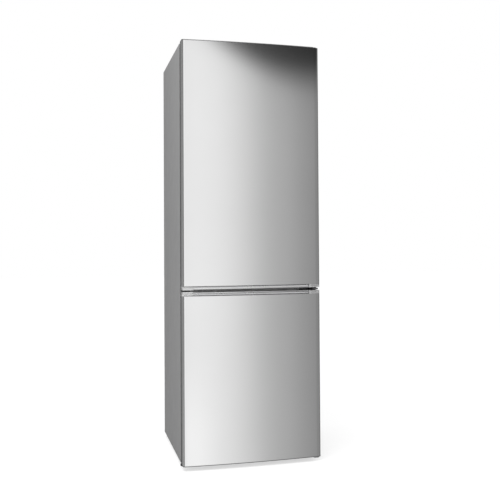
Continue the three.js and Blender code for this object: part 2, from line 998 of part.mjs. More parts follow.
// Turned about its own axis, which points to the front; the ridge is its pointer.
function thermostatKnob() {
  const body = turned([
    [0, 0],
    [knobRadius, 0],
    [knobRadius, knobSkirt - 1],
    [knobRadius - 1, knobSkirt],
    [knobRadius * 0.7, knobSkirt],
    [knobRadius * 0.64, knobSkirt + knobGrip],
    [0, knobSkirt + knobGrip],
  ], 24);
  const shaft = rod(shaftRadius, -shaftHole + 2, overlap);
  const ridge = box(
    -1.5, 1.5, 0, knobRadius - 1, knobSkirt - overlap, knobSkirt + knobGrip * 0.75,
  );
  return join(body, shaft, ridge);
}

function lightSwitch() {
  const stroke = controlFace - switchReach - dykeBack - seat;
  return rod(plungerRadius, -shaftHole, stroke, 12);
}

// ---- Freezer interior ----

// Flat serpentine of cold tube that carries the drawer above it.
function serpentine(start, runs, half, pitch, radius, bendSteps) {
  const corners = [];
  for (let i = 0; i < runs; i += 1) {
    const side = i % 2 === 0 ? 1 : -1;
    corners.push([-side * half, start + i * pitch]);
    corners.push([side * half, start + i * pitch]);
  }
  const last = corners.length - 1;
  return { corners, last, radius, bendSteps, pitch };
}

function evaporator(rear) {
  const front = cabinetFront + freezerSetback + drawerFront + 2 * evaporatorPitch;
  const half = freezerHalf - evaporatorTube - 4;
  const runs = Math.floor((rear - evaporatorTube - seat - front) / evaporatorPitch) + 1;
  const { corners } = serpentine(front, runs, half, evaporatorPitch);
  const route = corners.map(([x, y]) => [x, y, 0]);
  return tube(bends(route, evaporatorPitch / 2, 3), evaporatorTube);
}

// ---- Machine compartment ----

const cheek = 2;
const cheekGap = 1.3;
const railFront = machineFront + 10;
const cheekHalf = 16;

function compressorRail() {
  const rear = cabinetRear - steel - 2;
  const plate = box(-sheetInside, sheetInside, railFront, rear, railLevel, railLevel + railSheet);
  const frontFold = box(
    -sheetInside, sheetInside,
    railFront, railFront + railSheet,
    railLevel - 4 * railSheet, railLevel + overlap,
  );
  const cheeks = [];
  const inner = rollerWidth / 2 + cheekGap;
  for (const side of [-1, 1]) {
    for (const hand of [-1, 1]) {
      const near = side * rollerX + hand * inner;
      const far = side * rollerX + hand * (inner + cheek);
      cheeks.push(box(
        Math.min(near, far), Math.max(near, far),
        rollerY - cheekHalf, rollerY + cheekHalf,
        axleLevel - axleRadius - 3, railLevel + overlap,
      ));
    }
  }
  const axleHole = rod(axleRadius + play, -halfWidth, halfWidth).rotateY(Math.PI / 2);
  return cut(join(plate, frontFold, ...cheeks), axleHole.translate(0, rollerY, axleLevel));
}

function roller() {
  const wheel = turned([
    [0, -rollerWidth / 2],
    [rollerRadius - 1, -rollerWidth / 2],
    [rollerRadius, -rollerWidth / 2 + 1],
    [rollerRadius, rollerWidth / 2 - 1],
    [rollerRadius - 1, rollerWidth / 2],
    [0, rollerWidth / 2],
  ], 24);
  const half = rollerWidth / 2 + cheekGap + cheek;
  return join(wheel, rod(axleRadius, -half, half)).rotateY(Math.PI / 2);
}

function levellingFoot() {
  return turned([
    [0, 0],
    [footRadius - 2, 0],
    [footRadius, 2],
    [footRadius, 7],
    [footRadius - 3, 9],
    [2 * studRadius, 10],
    [2 * studRadius, 12],
    [studRadius, 12],
    [studRadius, bracketTop],
    [0, bracketTop],
  ], 24);
}

const grommetRadius = 9;
const grommetX = 75;
const grommetY = 45;
const compressorFoot = 3;

// Hermetic compressor: two pressed domes welded at a belt, on a foot plate with rubber grommets.
function compressor() {
  const r = compressorRadius;
  const top = compressorTop;
  const shell = turned([
    [0, grommet],
    [r * 0.78, grommet],
    [r * 0.95, grommet + 10],
    [r, grommet + 24],
    [r, top * 0.42],
    [r + 2, top * 0.43],
    [r + 2, top * 0.47],
    [r, top * 0.48],
    [r * 0.96, top * 0.74],
    [r * 0.8, top * 0.9],
    [r * 0.5, top * 0.98],
    [r * 0.3, top],
    [0, top],
  ], 20).scale(compressorStretch, 1, 1);
  const feet = [];
  for (const sx of [-1, 1]) {
    for (const sy of [-1, 1]) {
      feet.push(rod(grommetRadius, 0, grommet + overlap).translate(sx * grommetX, sy * grommetY, 0));
    }
  }
  const half = grommetX + grommetRadius + 6;
  const foot = upright(
    roundedRectangle(-half, half, -grommetY - 15, grommetY + 15, 12),
    grommet, grommet + compressorFoot,
  );
  return join(shell, foot, ...feet);
}

const coverDepth = 44;
const coverHalf = 35;
const coverBottom = 40;
const coverHeight = 70;
const glandRadius = 8;
const glandLength = 14;
const glandBore = 4;

// Relay cover on the side of the compressor, with the gland where the mains lead goes in.
function terminalCover() {
  const gland = rod(glandRadius, 0, glandLength + overlap).rotateY(-Math.PI / 2);
  const bore = rod(glandBore, -coverDepth / 2, glandLength + 2 * overlap).rotateY(-Math.PI / 2);
  const glandLevel = coverBottom + coverHeight / 3;
  return cut(
    join(
      box(-coverDepth, 0, -coverHalf, coverHalf, coverBottom, coverBottom + coverHeight),
      gland.translate(-coverDepth + overlap, 0, glandLevel),
    ),
    bore.translate(-coverDepth, 0, glandLevel),
  );
}

const trayHalfX = 75;
const trayHalfY = 62;
const trayHeight = 30;

// Tray on the warm compressor, where melt water dries off.
function evaporationTray() {
  const outer = upright(roundedRectangle(-trayHalfX, trayHalfX, -trayHalfY, trayHalfY, 14), 0, trayHeight);
  const wall = drawerWall;
  const inner = upright(
    roundedRectangle(-trayHalfX + wall, trayHalfX - wall, -trayHalfY + wall, trayHalfY - wall, 12),
    wall, trayHeight + overlap,
  );
  return cut(outer, inner);
}

const condenserRise = 32;
const condenserReturn = 27;
const strapInset = 25;
const strapX = condenserHalf - strapInset;
const strapHalf = 6;

// Serpentine on the back that gives off the heat, strapped clear of the back panel.
function condenser() {
  const { corners } = serpentine(condenserBase, condenserRuns, condenserHalf, condenserPitch);
  const top = corners[corners.length - 1];
  const returnX = -condenserHalf - condenserReturn;
  const route = [
    [condenserHalf + condenserReturn, condenserY, condenserBase - condenserRise],
    [condenserHalf + condenserReturn, condenserY, condenserBase],
    ...corners.slice(1).map(([x, z]) => [-x, condenserY, z]),
  ];
  const topZ = top[1];
  route[route.length - 1] = [returnX, condenserY, topZ];
  route.push([returnX, condenserY, condenserBase - condenserRise]);
  const coil = tube(bends(route, condenserPitch / 2, 3), condenserTube);
  const straps = [];
  for (const side of [-1, 1]) {
    straps.push(box(
      side * strapX - strapHalf, side * strapX + strapHalf,
      condenserY + condenserTube - 1, condenserY + condenserTube + 1,
      condenserBase - condenserRise / 2, topZ + condenserRise / 2,
    ));
    for (const level of [condenserBase - 12, (condenserBase + topZ) / 2, topZ + 12]) {
      straps.push(box(
        side * strapX - strapHalf, side * strapX + strapHalf,
        backPanel + seat, condenserY + condenserTube,
        level - 1, level + 1,
      ));
    }
  }
  return join(coil, ...straps);
}

const drierRadius = 9;
const drierLength = 110;

function filterDrier() {
  return turned([
    [0, 0],
    [condenserTube, 0],
    [condenserTube, 8],
    [drierRadius, 20],
    [drierRadius, drierLength - 20],
    [condenserTube, drierLength - 8],
    [condenserTube, drierLength],
    [0, drierLength],
  ], 16);
}

const compressorSide = compressorRadius * compressorStretch;
const dischargeRise = 60;
const suctionRise = 50;
const suctionTopRise = 40;
const dischargeLevel = compressorFloor + dischargeRise;
const suctionLevel = compressorFloor + suctionRise;
const suctionTop = machineTop + suctionTopRise;

function dischargePipe() {
  const outX = condenserHalf + condenserReturn;
  return tube(bends([
    [compressorX + compressorSide + seat, compressorY, dischargeLevel],
    [outX, compressorY, dischargeLevel],
    [outX, condenserY, dischargeLevel],
    [outX, condenserY, condenserBase - condenserRise - seat],
  ], 14, 3), pipeRadius, 8);
}

function suctionPipe() {
  return tube(bends([
    [compressorX, compressorY + compressorRadius + seat, suctionLevel],
    [compressorX, condenserY, suctionLevel],
    [compressorX, condenserY, suctionTop],
    [compressorX, backPanel + seat, suctionTop],
  ], 8, 3), pipeRadius, 8);
}

// ---- Assembly ----

const brushedSteel = finish(0xc9c8c6, 0.3, 1);
const cabinetPaint = finish(0x9a9a9a, 0.45, 0.4);
const zincSteel = finish(0xa8aaac, 0.5, 0.8);
const whiteLiner = finish(0xf0f1f0, 0.4, 0);
const foamFill = finish(0xe9dfb8, 0.9, 0);
const gripMetal = finish(0xb9babb, 0.25, 0.9);
const greyPlastic = finish(0x77797a, 0.5, 0);
const blackPlastic = finish(0x1b1b1c, 0.55, 0);
const sealRubber = finish(0x77787a, 0.7, 0);
const clearGlass = finish(0xdfeeea, 0.05, 0, 0.4);
const clearPlastic = finish(0xe4eef2, 0.15, 0, 0.55);
const blackPaint = finish(0x141414, 0.5, 0.3);
const copper = finish(0xb87345, 0.35, 1);
const aluminium = finish(0xcfd2d3, 0.35, 1);
const lampDiffuser = finish(0xf7f5ea, 0.5, 0, 0.8);

const group = new THREE.Group();

group.add(
  mesh('side_panel_left', sidePanel(-1), cabinetPaint),
  mesh('side_panel_right', sidePanel(1), cabinetPaint),
  mesh('top_panel', topPanel(), cabinetPaint),
  mesh('back_panel', backPanelSheet(), zincSteel),
  mesh('base_plate', basePlate(), zincSteel),
  mesh('cabinet_foam', cabinetFoam(), foamFill),
  mesh('fridge_liner', fridgeLiner(), whiteLiner),
  mesh('freezer_liner', freezerLiner(), whiteLiner),
  mesh('fridge_evaporator', coldPlate(0), aluminium),
  mesh('middle_beam', middleBeam(), cabinetPaint),
  mesh('kick_plate', kickPlate(), blackPlastic),
  mesh('top_hinge', topHinge(), zincSteel),
  mesh('middle_hinge', middleHinge(), zincSteel),
  mesh('bottom_hinge', bottomHinge(), zincSteel),
  mesh('foot_bracket_left', footBracket(-footX), zincSteel),
);

for (const [side, hand] of [[-1, 'left'], [1, 'right']]) {
  const foot = mesh(`foot_${hand}`, levellingFoot(), blackPlastic);
  foot.position.set(side * footX, footY, 0);
  const wheel = mesh(`roller_${hand}`, roller(), blackPlastic);
  wheel.position.set(side * rollerX, rollerY, axleLevel);
  group.add(foot, wheel);
}

// Machine compartment and back.
const machine = new THREE.Group();
machine.position.set(compressorX, compressorY, compressorFloor);
const trayPiece = mesh('evaporation_tray', evaporationTray(), greyPlastic);
trayPiece.position.z = compressorTop + seat;
const coverPiece = mesh('terminal_cover', terminalCover(), blackPlastic);
coverPiece.position.x = -compressorSide - 2 * compressorStretch - seat;
machine.add(mesh('compressor', compressor(), blackPaint), trayPiece, coverPiece);
const drierPiece = mesh('filter_drier', filterDrier(), copper);
drierPiece.position.set(
  -condenserHalf - condenserReturn, condenserY, condenserBase - condenserRise - seat - drierLength,
);
group.add(
  machine,
  drierPiece,
  mesh('compressor_rail', compressorRail(), zincSteel),
  mesh('condenser', condenser(), blackPaint),
  mesh('discharge_pipe', dischargePipe(), copper),
  mesh('suction_pipe', suctionPipe(), copper),
);

// Fridge interior: glass cover of the crisper, then the shelves.
const shelfNames = ['lower', 'middle', 'upper', 'top', 'highest'];
shelfLevels.forEach((level, index) => {
  const glassName = index === 0 ? 'crisper_cover' : `glass_shelf_${shelfNames[index - 1]}`;
  const pane = mesh(glassName, shelfGlass(), clearGlass);
  pane.position.z = level;
  group.add(pane);
  if (index > 0) {
    const rail = mesh(`shelf_rail_${shelfNames[index - 1]}`, shelfRail(), greyPlastic);
    rail.position.z = level;
    group.add(rail);
  }
});

const crisper = mesh(
  'crisper_drawer',
  slidingBox(crisperHeight, cabinetFront + shelfFront, linerRear - crisperRear),
  clearPlastic,
);
crisper.position.z = fridgeFloor + seat;
const knob = mesh('thermostat_knob', thermostatKnob(), greyPlastic);
knob.position.set(knobX, controlFace - seat, knobLevel);
knob.rotation.x = Math.PI / 2;
const plungerPiece = mesh('light_switch', lightSwitch(), whiteLiner);
plungerPiece.position.set(plungerX, controlFace - switchReach, knobLevel);
plungerPiece.rotation.x = Math.PI / 2;
group.add(
  crisper,
  knob,
  plungerPiece,
  mesh('control_housing', controlHousing(), whiteLiner),
  mesh('lamp_lens', lampLens(), lampDiffuser),
);

// Freezer interior.
const drawerStart = cabinetFront + freezerSetback;
const tubeTop = 2 * evaporatorTube + 2 * seat;
const drawers = [
  ['freezer_drawer_bottom', freezerFloor + seat, lowerEvaporator - ledgeHeight, stepFront],
  ['freezer_drawer_middle', lowerEvaporator + tubeTop, upperEvaporator - ledgeHeight, linerRear],
  ['freezer_drawer_top', upperEvaporator + tubeTop, freezerCeiling, linerRear],
];
for (const [name, bottom, limit, rear] of drawers) {
  const drawerHeight = limit - drawerHeadroom - bottom;
  const drawer = mesh(name, slidingBox(drawerHeight, drawerStart, rear - drawerRear), clearPlastic);
  drawer.position.z = bottom;
  group.add(drawer);
}
const coils = [
  ['freezer_evaporator_lower', lowerEvaporator, stepFront],
  ['freezer_evaporator_upper', upperEvaporator, linerRear],
];
for (const [name, level, rear] of coils) {
  const coil = mesh(name, evaporator(rear), aluminium);
  coil.position.z = level + seat + evaporatorTube;
  group.add(coil);
}

// Each door hangs in a group whose origin is the hinge axis.
function doorGroup() {
  const pivot = new THREE.Group();
  pivot.position.set(hingeX, hingeY, 0);
  const leaf = new THREE.Group();
  leaf.position.set(-hingeX, -hingeY, 0);
  pivot.add(leaf);
  group.add(pivot);
  return leaf;
}

const dairyHeight = 75;
const binHeight = 70;
const bottleHeight = 90;
const dairyDrop = 245; // from the ceiling
const binDrop = 320; // from the dairy bin
const bottleRise = 55; // from the fridge's floor
const dairyLevel = ceiling - dairyDrop;
const binLevel = dairyLevel - binDrop;
const bottleLevel = fridgeFloor + bottleRise;

function fitted(name, geometry, material, level) {
  const piece = mesh(name, geometry, material);
  piece.position.z = level;
  return piece;
}

const lid = mesh('dairy_lid', dairyLid(), clearPlastic);
lid.position.set(0, binBack + lidBarrel, dairyLevel + dairyHeight + lidBarrel);
doorGroup().add(
  mesh('fridge_door_panel', doorPanel(fridgeSteelBottom, doorShoulder - seat), brushedSteel),
  mesh('fridge_door_liner', fridgeDoorLiner(), whiteLiner),
  mesh('fridge_door_foam', fridgeDoorFoam(), foamFill),
  mesh('fridge_door_cap', fridgeDoorCap(), greyPlastic),
  mesh('fridge_grip', gripEdge(fridgeDoorBottom, 1), gripMetal),
  mesh('fridge_gasket', gasket(slotLevel + sealDrop, cabinetTop - sealRise), sealRubber),
  fitted('dairy_bin', doorBin(dairyHeight), clearPlastic, dairyLevel),
  fitted('door_bin', doorBin(binHeight), clearPlastic, binLevel),
  fitted('bottle_bin', doorBin(bottleHeight), clearPlastic, bottleLevel),
  lid,
);

doorGroup().add(
  mesh('freezer_door_panel', doorPanel(doorBottom + doorCap + seat, freezerSteelTop), brushedSteel),
  mesh('freezer_door_liner', freezerDoorLiner(), whiteLiner),
  mesh('freezer_door_foam', freezerDoorFoam(), foamFill),
  mesh('freezer_door_cap', freezerDoorCap(), greyPlastic),
  mesh('freezer_grip', gripEdge(freezerDoorTop, -1), gripMetal),
  mesh('freezer_gasket', gasket(basePlateLevel + sealRise, slotLevel - sealDrop), sealRubber),
);

export default group;
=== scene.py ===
import math

import bpy
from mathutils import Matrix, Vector


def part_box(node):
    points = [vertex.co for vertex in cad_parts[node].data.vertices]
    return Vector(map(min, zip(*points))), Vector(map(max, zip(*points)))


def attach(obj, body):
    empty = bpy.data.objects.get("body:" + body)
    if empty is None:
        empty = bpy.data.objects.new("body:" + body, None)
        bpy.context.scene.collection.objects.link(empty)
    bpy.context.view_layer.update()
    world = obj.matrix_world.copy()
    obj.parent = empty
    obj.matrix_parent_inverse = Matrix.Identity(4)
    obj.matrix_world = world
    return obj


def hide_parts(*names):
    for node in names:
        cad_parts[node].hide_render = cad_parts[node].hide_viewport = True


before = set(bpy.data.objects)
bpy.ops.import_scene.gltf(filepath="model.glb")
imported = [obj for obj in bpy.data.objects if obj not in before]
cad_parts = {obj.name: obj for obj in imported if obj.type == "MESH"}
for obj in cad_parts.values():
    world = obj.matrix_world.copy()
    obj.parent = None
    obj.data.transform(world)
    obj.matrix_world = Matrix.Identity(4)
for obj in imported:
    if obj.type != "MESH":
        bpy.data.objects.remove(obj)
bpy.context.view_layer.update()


# Camera. It stands in front of the doors, a little to the left, at about half
# the refrigerator's height, and looks very slightly up.
camera_data = bpy.data.cameras.new("camera")
camera_data.sensor_width = 36
camera_data.lens = 55.75
camera_data.shift_x = -0.0518
camera_data.shift_y = -0.04
camera = bpy.data.objects.new("camera", camera_data)
camera.location = (-0.7549, -3.5267, 0.9383)
camera.rotation_euler = [math.radians(turn) for turn in (91.071, 0.357, -14.957)]
bpy.context.scene.collection.objects.link(camera)
bpy.context.scene.camera = camera
bpy.context.scene.view_settings.view_transform = "Standard"


# Studio. A white room with a pale floor and one soft lamp overhead. Cards that
# only gloss can see give the steel its reflections: a large graded one in front
# to the right, plain greys behind on both sides and a dark flag at each flank.
def set_mode(mode):
    bpy.ops.object.mode_set(mode=mode)


def deselect():
    if bpy.context.object and bpy.context.object.mode != "OBJECT":
        set_mode("OBJECT")
    bpy.ops.object.select_all(action="DESELECT")


def add_node(tree, kind, inputs={}, **settings):
    """New shader node; each input gets a plain value or the output that feeds it."""
    node = tree.nodes.new("ShaderNode" + kind)
    for setting, value in settings.items():
        setattr(node, setting, value)
    for socket, value in inputs.items():
        if isinstance(value, bpy.types.NodeSocket):
            tree.links.new(value, node.inputs[socket])
        else:
            node.inputs[socket].default_value = value
    return node


def calculate(tree, value, *steps):
    """Take a value through pairs of an operation and its other operand."""
    for operation, other in zip(steps[::2], steps[1::2]):
        value = add_node(tree, "Math", {0: value, 1: other}, operation=operation).outputs[0]
    return value


def scaled(tree, source, start, end, low=0.0, high=1.0):
    """Low at start, high at end, held beyond."""
    inputs = {"Value": source, "From Min": start, "From Max": end, "To Min": low, "To Max": high}
    return add_node(tree, "MapRange", inputs).outputs["Result"]


def ramp_between(tree, source, stops):
    ramp = add_node(tree, "ValToRGB", {"Fac": source})
    while len(ramp.color_ramp.elements) < len(stops):
        ramp.color_ramp.elements.new(0.5)
    for element, (place, grey) in zip(ramp.color_ramp.elements, stops):
        element.position = place
        element.color = (grey, grey, grey, 1)
    return ramp.outputs["Color"]


def seen_directly(tree):
    """1 for rays from the camera, gloss and glass, 0 for the light that shades things."""
    rays = add_node(tree, "LightPath").outputs
    others = ("MAXIMUM", rays["Is Glossy Ray"], "MAXIMUM", rays["Is Transmission Ray"])
    return calculate(tree, rays["Is Camera Ray"], *others)


def bare_material(name):
    material = bpy.data.materials.new(name)
    material.use_nodes = True
    material.node_tree.nodes.remove(material.node_tree.nodes["Principled BSDF"])
    return material, material.node_tree


def show(tree, shader):
    tree.links.new(shader.outputs[0], tree.nodes["Material Output"].inputs["Surface"])


room = bpy.data.worlds.new("white_room")
bpy.context.scene.world = room
room.use_nodes = True
tree = room.node_tree
background = tree.nodes["Background"].inputs
background["Color"].default_value = (1, 1, 1, 1)
tree.links.new(scaled(tree, seen_directly(tree), 0, 1, 0.72, 1.0), background["Strength"])

deselect()
bpy.ops.mesh.primitive_plane_add(size=40, location=(0, 0, -0.0005))
floor = bpy.context.object
floor.name = "floor"
floor_paint, tree = bare_material("floor_paint")
pale = add_node(tree, "BsdfDiffuse", {"Color": (0.58, 0.58, 0.58, 1)})
glow = add_node(tree, "Emission", {"Strength": calculate(tree, seen_directly(tree), "MULTIPLY", 0.60)})
show(tree, add_node(tree, "AddShader", {0: pale.outputs[0], 1: glow.outputs[0]}))
floor.data.materials.append(floor_paint)
floor.visible_glossy = False

lamp_data = bpy.data.lights.new("overhead_softbox", "AREA")
lamp_data.shape = "RECTANGLE"
lamp_data.size = 3.0
lamp_data.size_y = 2.0
lamp_data.energy = 60
overhead = bpy.data.objects.new("overhead_softbox", lamp_data)
overhead.location = (-1.2, -1.6, 3.6)
overhead.rotation_euler = (Vector((0, 0, 0.9)) - overhead.location).to_track_quat("-Z", "Y").to_euler()
overhead.visible_glossy = False
bpy.context.scene.collection.objects.link(overhead)


def select_all():
    bpy.ops.mesh.select_all(action="SELECT")


def fresh(name, scale=(1, 1, 1)):
    """Name the object just added and settle its size, turn and place."""
    piece = bpy.context.object
    piece.name = name
    piece.scale = scale
    bpy.ops.object.transform_apply(location=True, rotation=True, scale=True)
    return piece


def pull(distance):
    bpy.ops.mesh.extrude_region_move(TRANSFORM_OT_translate={"value": distance})


def draw_on(here, points):
    """From the selected vertex, one straight edge to each point in turn."""
    for there in points:
        pull(Vector(there) - Vector(here))
        here = there


def drawn(name, points):
    """Straight edges from point to point; the last vertex stays selected."""
    deselect()
    bpy.ops.mesh.primitive_plane_add(size=1, location=points[0])
    piece = fresh(name)
    set_mode("EDIT")
    select_all()
    bpy.ops.mesh.merge(type="CENTER")
    bpy.ops.mesh.select_mode(type="VERT")
    select_all()
    draw_on(points[0], points[1:])
    return piece


def close_outline():
    select_all()
    bpy.ops.mesh.edge_face_add()


def studio_card(name, start, end, level=1.0, low=-5, high=8):
    """Upright card between two points of the plan that shows up only in gloss."""
    card = drawn(name, [(*start, low), (*start, high), (*end, high), (*end, low)])
    close_outline()
    set_mode("OBJECT")
    paint, tree = bare_material(name + "_paint")
    glow = add_node(tree, "Emission", {"Strength": level})
    show(tree, glow)
    card.data.materials.append(paint)
    card.visible_camera = card.visible_diffuse = card.visible_transmission = card.visible_shadow = False
    return tree, glow.inputs["Strength"]


def own_place(tree):
    return add_node(tree, "TexCoord").outputs["Object"]


def split(tree, place):
    return add_node(tree, "SeparateXYZ", {0: place}).outputs


tree, level = studio_card("graded_card", (-0.5, -4.6), (6.5, -4.6), low=-4, high=6)
right, _, up = split(tree, own_place(tree))
falling = ramp_between(tree, scaled(tree, right, -0.49, 2.45), [
    (0.0, 0.94), (0.1, 0.975), (0.167, 0.995), (0.28, 0.954), (0.357, 0.888), (0.433, 0.796), (0.51, 0.684),
    (0.59, 0.575), (0.673, 0.504), (0.757, 0.458), (0.847, 0.388), (0.937, 0.338), (1.0, 0.28),
])
# The card darkens towards its upper right along a line that sags and spreads to the right.
apex = calculate(tree, right, "SUBTRACT", 1.95)
line = calculate(tree, apex, "MULTIPLY", apex, "MULTIPLY", 0.117, "ADD", 2.655)
spread_out = calculate(tree, scaled(tree, right, 1.1, 2.3), "MULTIPLY", 0.5, "ADD", 1.0)
above_line = calculate(tree, up, "SUBTRACT", line, "DIVIDE", spread_out)
shade = ramp_between(tree, scaled(tree, above_line, -0.3, 0.5), [
    (0.0, 1.0), (0.19, 0.96), (0.235, 0.90), (0.275, 0.80), (0.325, 0.65), (0.375, 0.50), (0.431, 0.34),
    (0.475, 0.21), (0.525, 0.13), (0.625, 0.10), (1.0, 0.09),
])
# Its lower left is a little lighter.
low, left = scaled(tree, up, -0.06, -0.94), scaled(tree, right, 0.4, -0.1)
lift = calculate(tree, low, "MULTIPLY", left, "MULTIPLY", 0.10, "ADD", 1.0)
tree.links.new(calculate(tree, falling, "MULTIPLY", shade, "MULTIPLY", lift), level)

studio_card("grey_card", (-4, -0.5), (-0.4, 9), 0.26)
studio_card("right_flag", (6.5, -4.6), (4, -0.5), 0.07)
studio_card("right_card", (4, -0.5), (0.4, 9), 0.5)
# The left flag is dark beside the doors and fades to grey outwards and downwards.
tree, level = studio_card("black_flag", (-1.5, -5.5), (-4, -0.6))
right, _, up = split(tree, own_place(tree))
fading = ramp_between(tree, scaled(tree, right, -1.5, -4.0), [
    (0.0, 0.02), (0.28, 0.03), (0.40, 0.30), (1.0, 0.34),
])
lift = calculate(tree, scaled(tree, up, 0.3, -1.6), "MULTIPLY", 0.5, "ADD", 1.0)
tree.links.new(calculate(tree, fading, "MULTIPLY", lift), level)


# Cabinet sheets. Two side sheets of painted steel, folded at the front into a
# flange for the door seals and at the rear into a narrow one.
def pick(piece, mode, test):
    """Select what passes the test: of a face's middle and normal, or of an edge's two ends."""
    set_mode("EDIT")
    bpy.ops.mesh.select_mode(type=mode)
    bpy.ops.mesh.select_all(action="DESELECT")
    set_mode("OBJECT")
    mesh = piece.data
    if mode == "FACE":
        for face in mesh.polygons:
            face.select = bool(test(face.center, face.normal))
    else:
        for edge in mesh.edges:
            edge.select = bool(test(*(mesh.vertices[i].co for i in edge.vertices)))
    set_mode("EDIT")


def bevel_selected(radius, segments):
    bpy.ops.mesh.bevel(offset=radius, segments=segments, affect="EDGES")


def round_off(piece, mode, test, radius, segments):
    """Bevel the edges that pass the test, or those of the faces that do."""
    pick(piece, mode, test)
    bevel_selected(radius, segments)
    set_mode("OBJECT")


def make_active(piece):
    deselect()
    piece.select_set(True)
    bpy.context.view_layer.objects.active = piece


def wear_modifier(piece, kind, **settings):
    make_active(piece)
    modifier = piece.modifiers.new(kind.lower(), kind)
    for setting, value in settings.items():
        setattr(modifier, setting, value)
    bpy.ops.object.modifier_apply(modifier=modifier.name)


def soften(piece, width, segments=2, angle=50):
    wear_modifier(
        piece, "BEVEL", width=width, segments=segments, limit_method="ANGLE",
        angle_limit=math.radians(angle), use_clamp_overlap=True, harden_normals=False,
    )
    return piece


def face_outwards(piece):
    make_active(piece)
    set_mode("EDIT")
    select_all()
    bpy.ops.mesh.remove_doubles(threshold=1e-6)
    bpy.ops.mesh.normals_make_consistent(inside=False)
    set_mode("OBJECT")
    return piece


def fit(piece, body, slot, material, *stands_for, angle=35):
    """Finish a piece: smooth it, paint it, hang it on its body and hide the CAD parts it stands for."""
    make_active(piece)
    bpy.ops.object.shade_smooth_by_angle(angle=math.radians(angle))
    piece.data.materials.clear()
    piece.data.materials.append(material)
    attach(piece, body)
    if stands_for:
        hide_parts(*stands_for)


def new_group(name, inputs, outputs):
    group = bpy.data.node_groups.new(name, "ShaderNodeTree")
    for label, default in inputs.items():
        kind = "NodeSocketVector" if default is None else "NodeSocketFloat"
        socket = group.interface.new_socket(label, in_out="INPUT", socket_type=kind)
        if default is not None:
            socket.default_value = default
    for label in outputs:
        group.interface.new_socket(label, in_out="OUTPUT", socket_type="NodeSocketFloat")
    return group, group.nodes.new("NodeGroupInput").outputs, group.nodes.new("NodeGroupOutput").inputs


# Slow cloudy unevenness, as on any painted, moulded or rolled surface.
cloudy, into, out = new_group("cloudy", {"Place": None, "Scale": 8.0, "Low": 0.0, "High": 1.0}, ["Value"])
clouds = add_node(cloudy, "TexNoise", {"Vector": into["Place"], "Scale": into["Scale"], "Detail": 4})
cloudy.links.new(scaled(cloudy, clouds.outputs["Fac"], 0.3, 0.7, into["Low"], into["High"]), out["Value"])

# Fine skin: the orange peel of paint and the grain of moulded plastic.
fine_skin, into, out = new_group("fine_skin", {"Place": None, "Scale": 900.0}, ["Height"])
pores = add_node(
    fine_skin, "TexVoronoi", {"Vector": into["Place"], "Scale": into["Scale"], "Smoothness": 0.6},
    feature="SMOOTH_F1",
)
fine_skin.links.new(pores.outputs["Distance"], out["Height"])


def use_group(tree, group, place, **values):
    return add_node(tree, "Group", {"Place": place, **values}, node_tree=group).outputs


def mixed(tree, share, one, other):
    inputs = {"Factor": share, "A": one, "B": (*other, 1)}
    return add_node(tree, "Mix", inputs, data_type="RGBA").outputs["Result"]


def toned(name, dark, light, drift, **settings):
    """Principled material whose base colour drifts between two close tones."""
    material = bpy.data.materials.new(name)
    material.use_nodes = True
    tree = material.node_tree
    shader = tree.nodes["Principled BSDF"]
    for label, value in settings.items():
        shader.inputs[label.replace("_", " ")].default_value = value
    place = own_place(tree)
    clouds = use_group(tree, cloudy, place, Scale=drift)[0]
    tree.links.new(mixed(tree, clouds, (*dark, 1), light), shader.inputs["Base Color"])
    return material, tree, shader, place


def raise_skin(tree, shader, height, distance, strength):
    bump = add_node(tree, "Bump", {"Strength": strength, "Distance": distance, "Height": height})
    tree.links.new(bump.outputs["Normal"], shader.inputs["Normal"])


def finish(name, dark, light, gloss, grain, depth, drift=5.0, patches=14.0, bump=0.3, **settings):
    """Any plain surface: drifting tone, uneven gloss between two values and a fine skin."""
    material, tree, shader, place = toned(name, dark, light, drift, **settings)
    rough = use_group(tree, cloudy, place, Scale=patches, Low=gloss[0], High=gloss[1])
    tree.links.new(rough[0], shader.inputs["Roughness"])
    raise_skin(tree, shader, use_group(tree, fine_skin, place, Scale=grain)[0], depth, bump)
    return material


def tint_over(tree, shader, share, colour):
    """Lay another colour over the base colour to the given share."""
    base = shader.inputs["Base Color"]
    tree.links.new(mixed(tree, share, base.links[0].from_socket, colour), base)


cabinet_grey = finish(
    "cabinet_grey", (0.350, 0.350, 0.352), (0.362, 0.362, 0.364), (0.37, 0.48), 900.0, 0.00002,
)
tree = cabinet_grey.node_tree
# Painted shade: ambient occlusion darkens the grey paint to near black in gaps and crevices, such as the flange
# in the shade behind the door edges.
crevice_occlusion = add_node(tree, "AmbientOcclusion", {"Distance": 0.05}, samples=8)
painted_crevice_shade = scaled(tree, crevice_occlusion.outputs["AO"], 0.85, 0.55)
tint_over(tree, tree.nodes["Principled BSDF"], painted_crevice_shade, (0.012, 0.012, 0.012))
side_low, side_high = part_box("side_panel_right")
for hand, side in (("left", -1), ("right", 1)):
    plan = [(0.26, side_low.y), (0.3, side_low.y), (0.3, side_high.y), (0.285, side_high.y)]
    sheet = drawn(f"side_sheet_{hand}", [(side * x, y, side_low.z) for x, y in plan])
    select_all()
    height = side_high.z - side_low.z
    pull((0, 0, height))
    round_off(sheet, "EDGE", lambda a, b: abs(a.z - b.z) > height / 2 and abs(a.x) > 0.2999, 0.0025, 4)
    wear_modifier(face_outwards(sheet), "SOLIDIFY", thickness=0.001, offset=-1)
    fit(sheet, "cabinet", "cabinet_paint", cabinet_grey, f"side_panel_{hand}")


# Rest of the cabinet's outer sheets: the top, the floor sheet over the machine
# compartment, the beam between the compartments and the zinc-plated back.
def block(name, low, high):
    deselect()
    low, high = Vector(low), Vector(high)
    bpy.ops.mesh.primitive_cube_add(size=1, location=(low + high) / 2)
    return fresh(name, high - low)


def add_to(piece, *others):
    """One object of several shells, as if glued or welded together."""
    make_active(piece)
    for other in others:
        other.select_set(True)
    bpy.ops.object.join()
    return piece


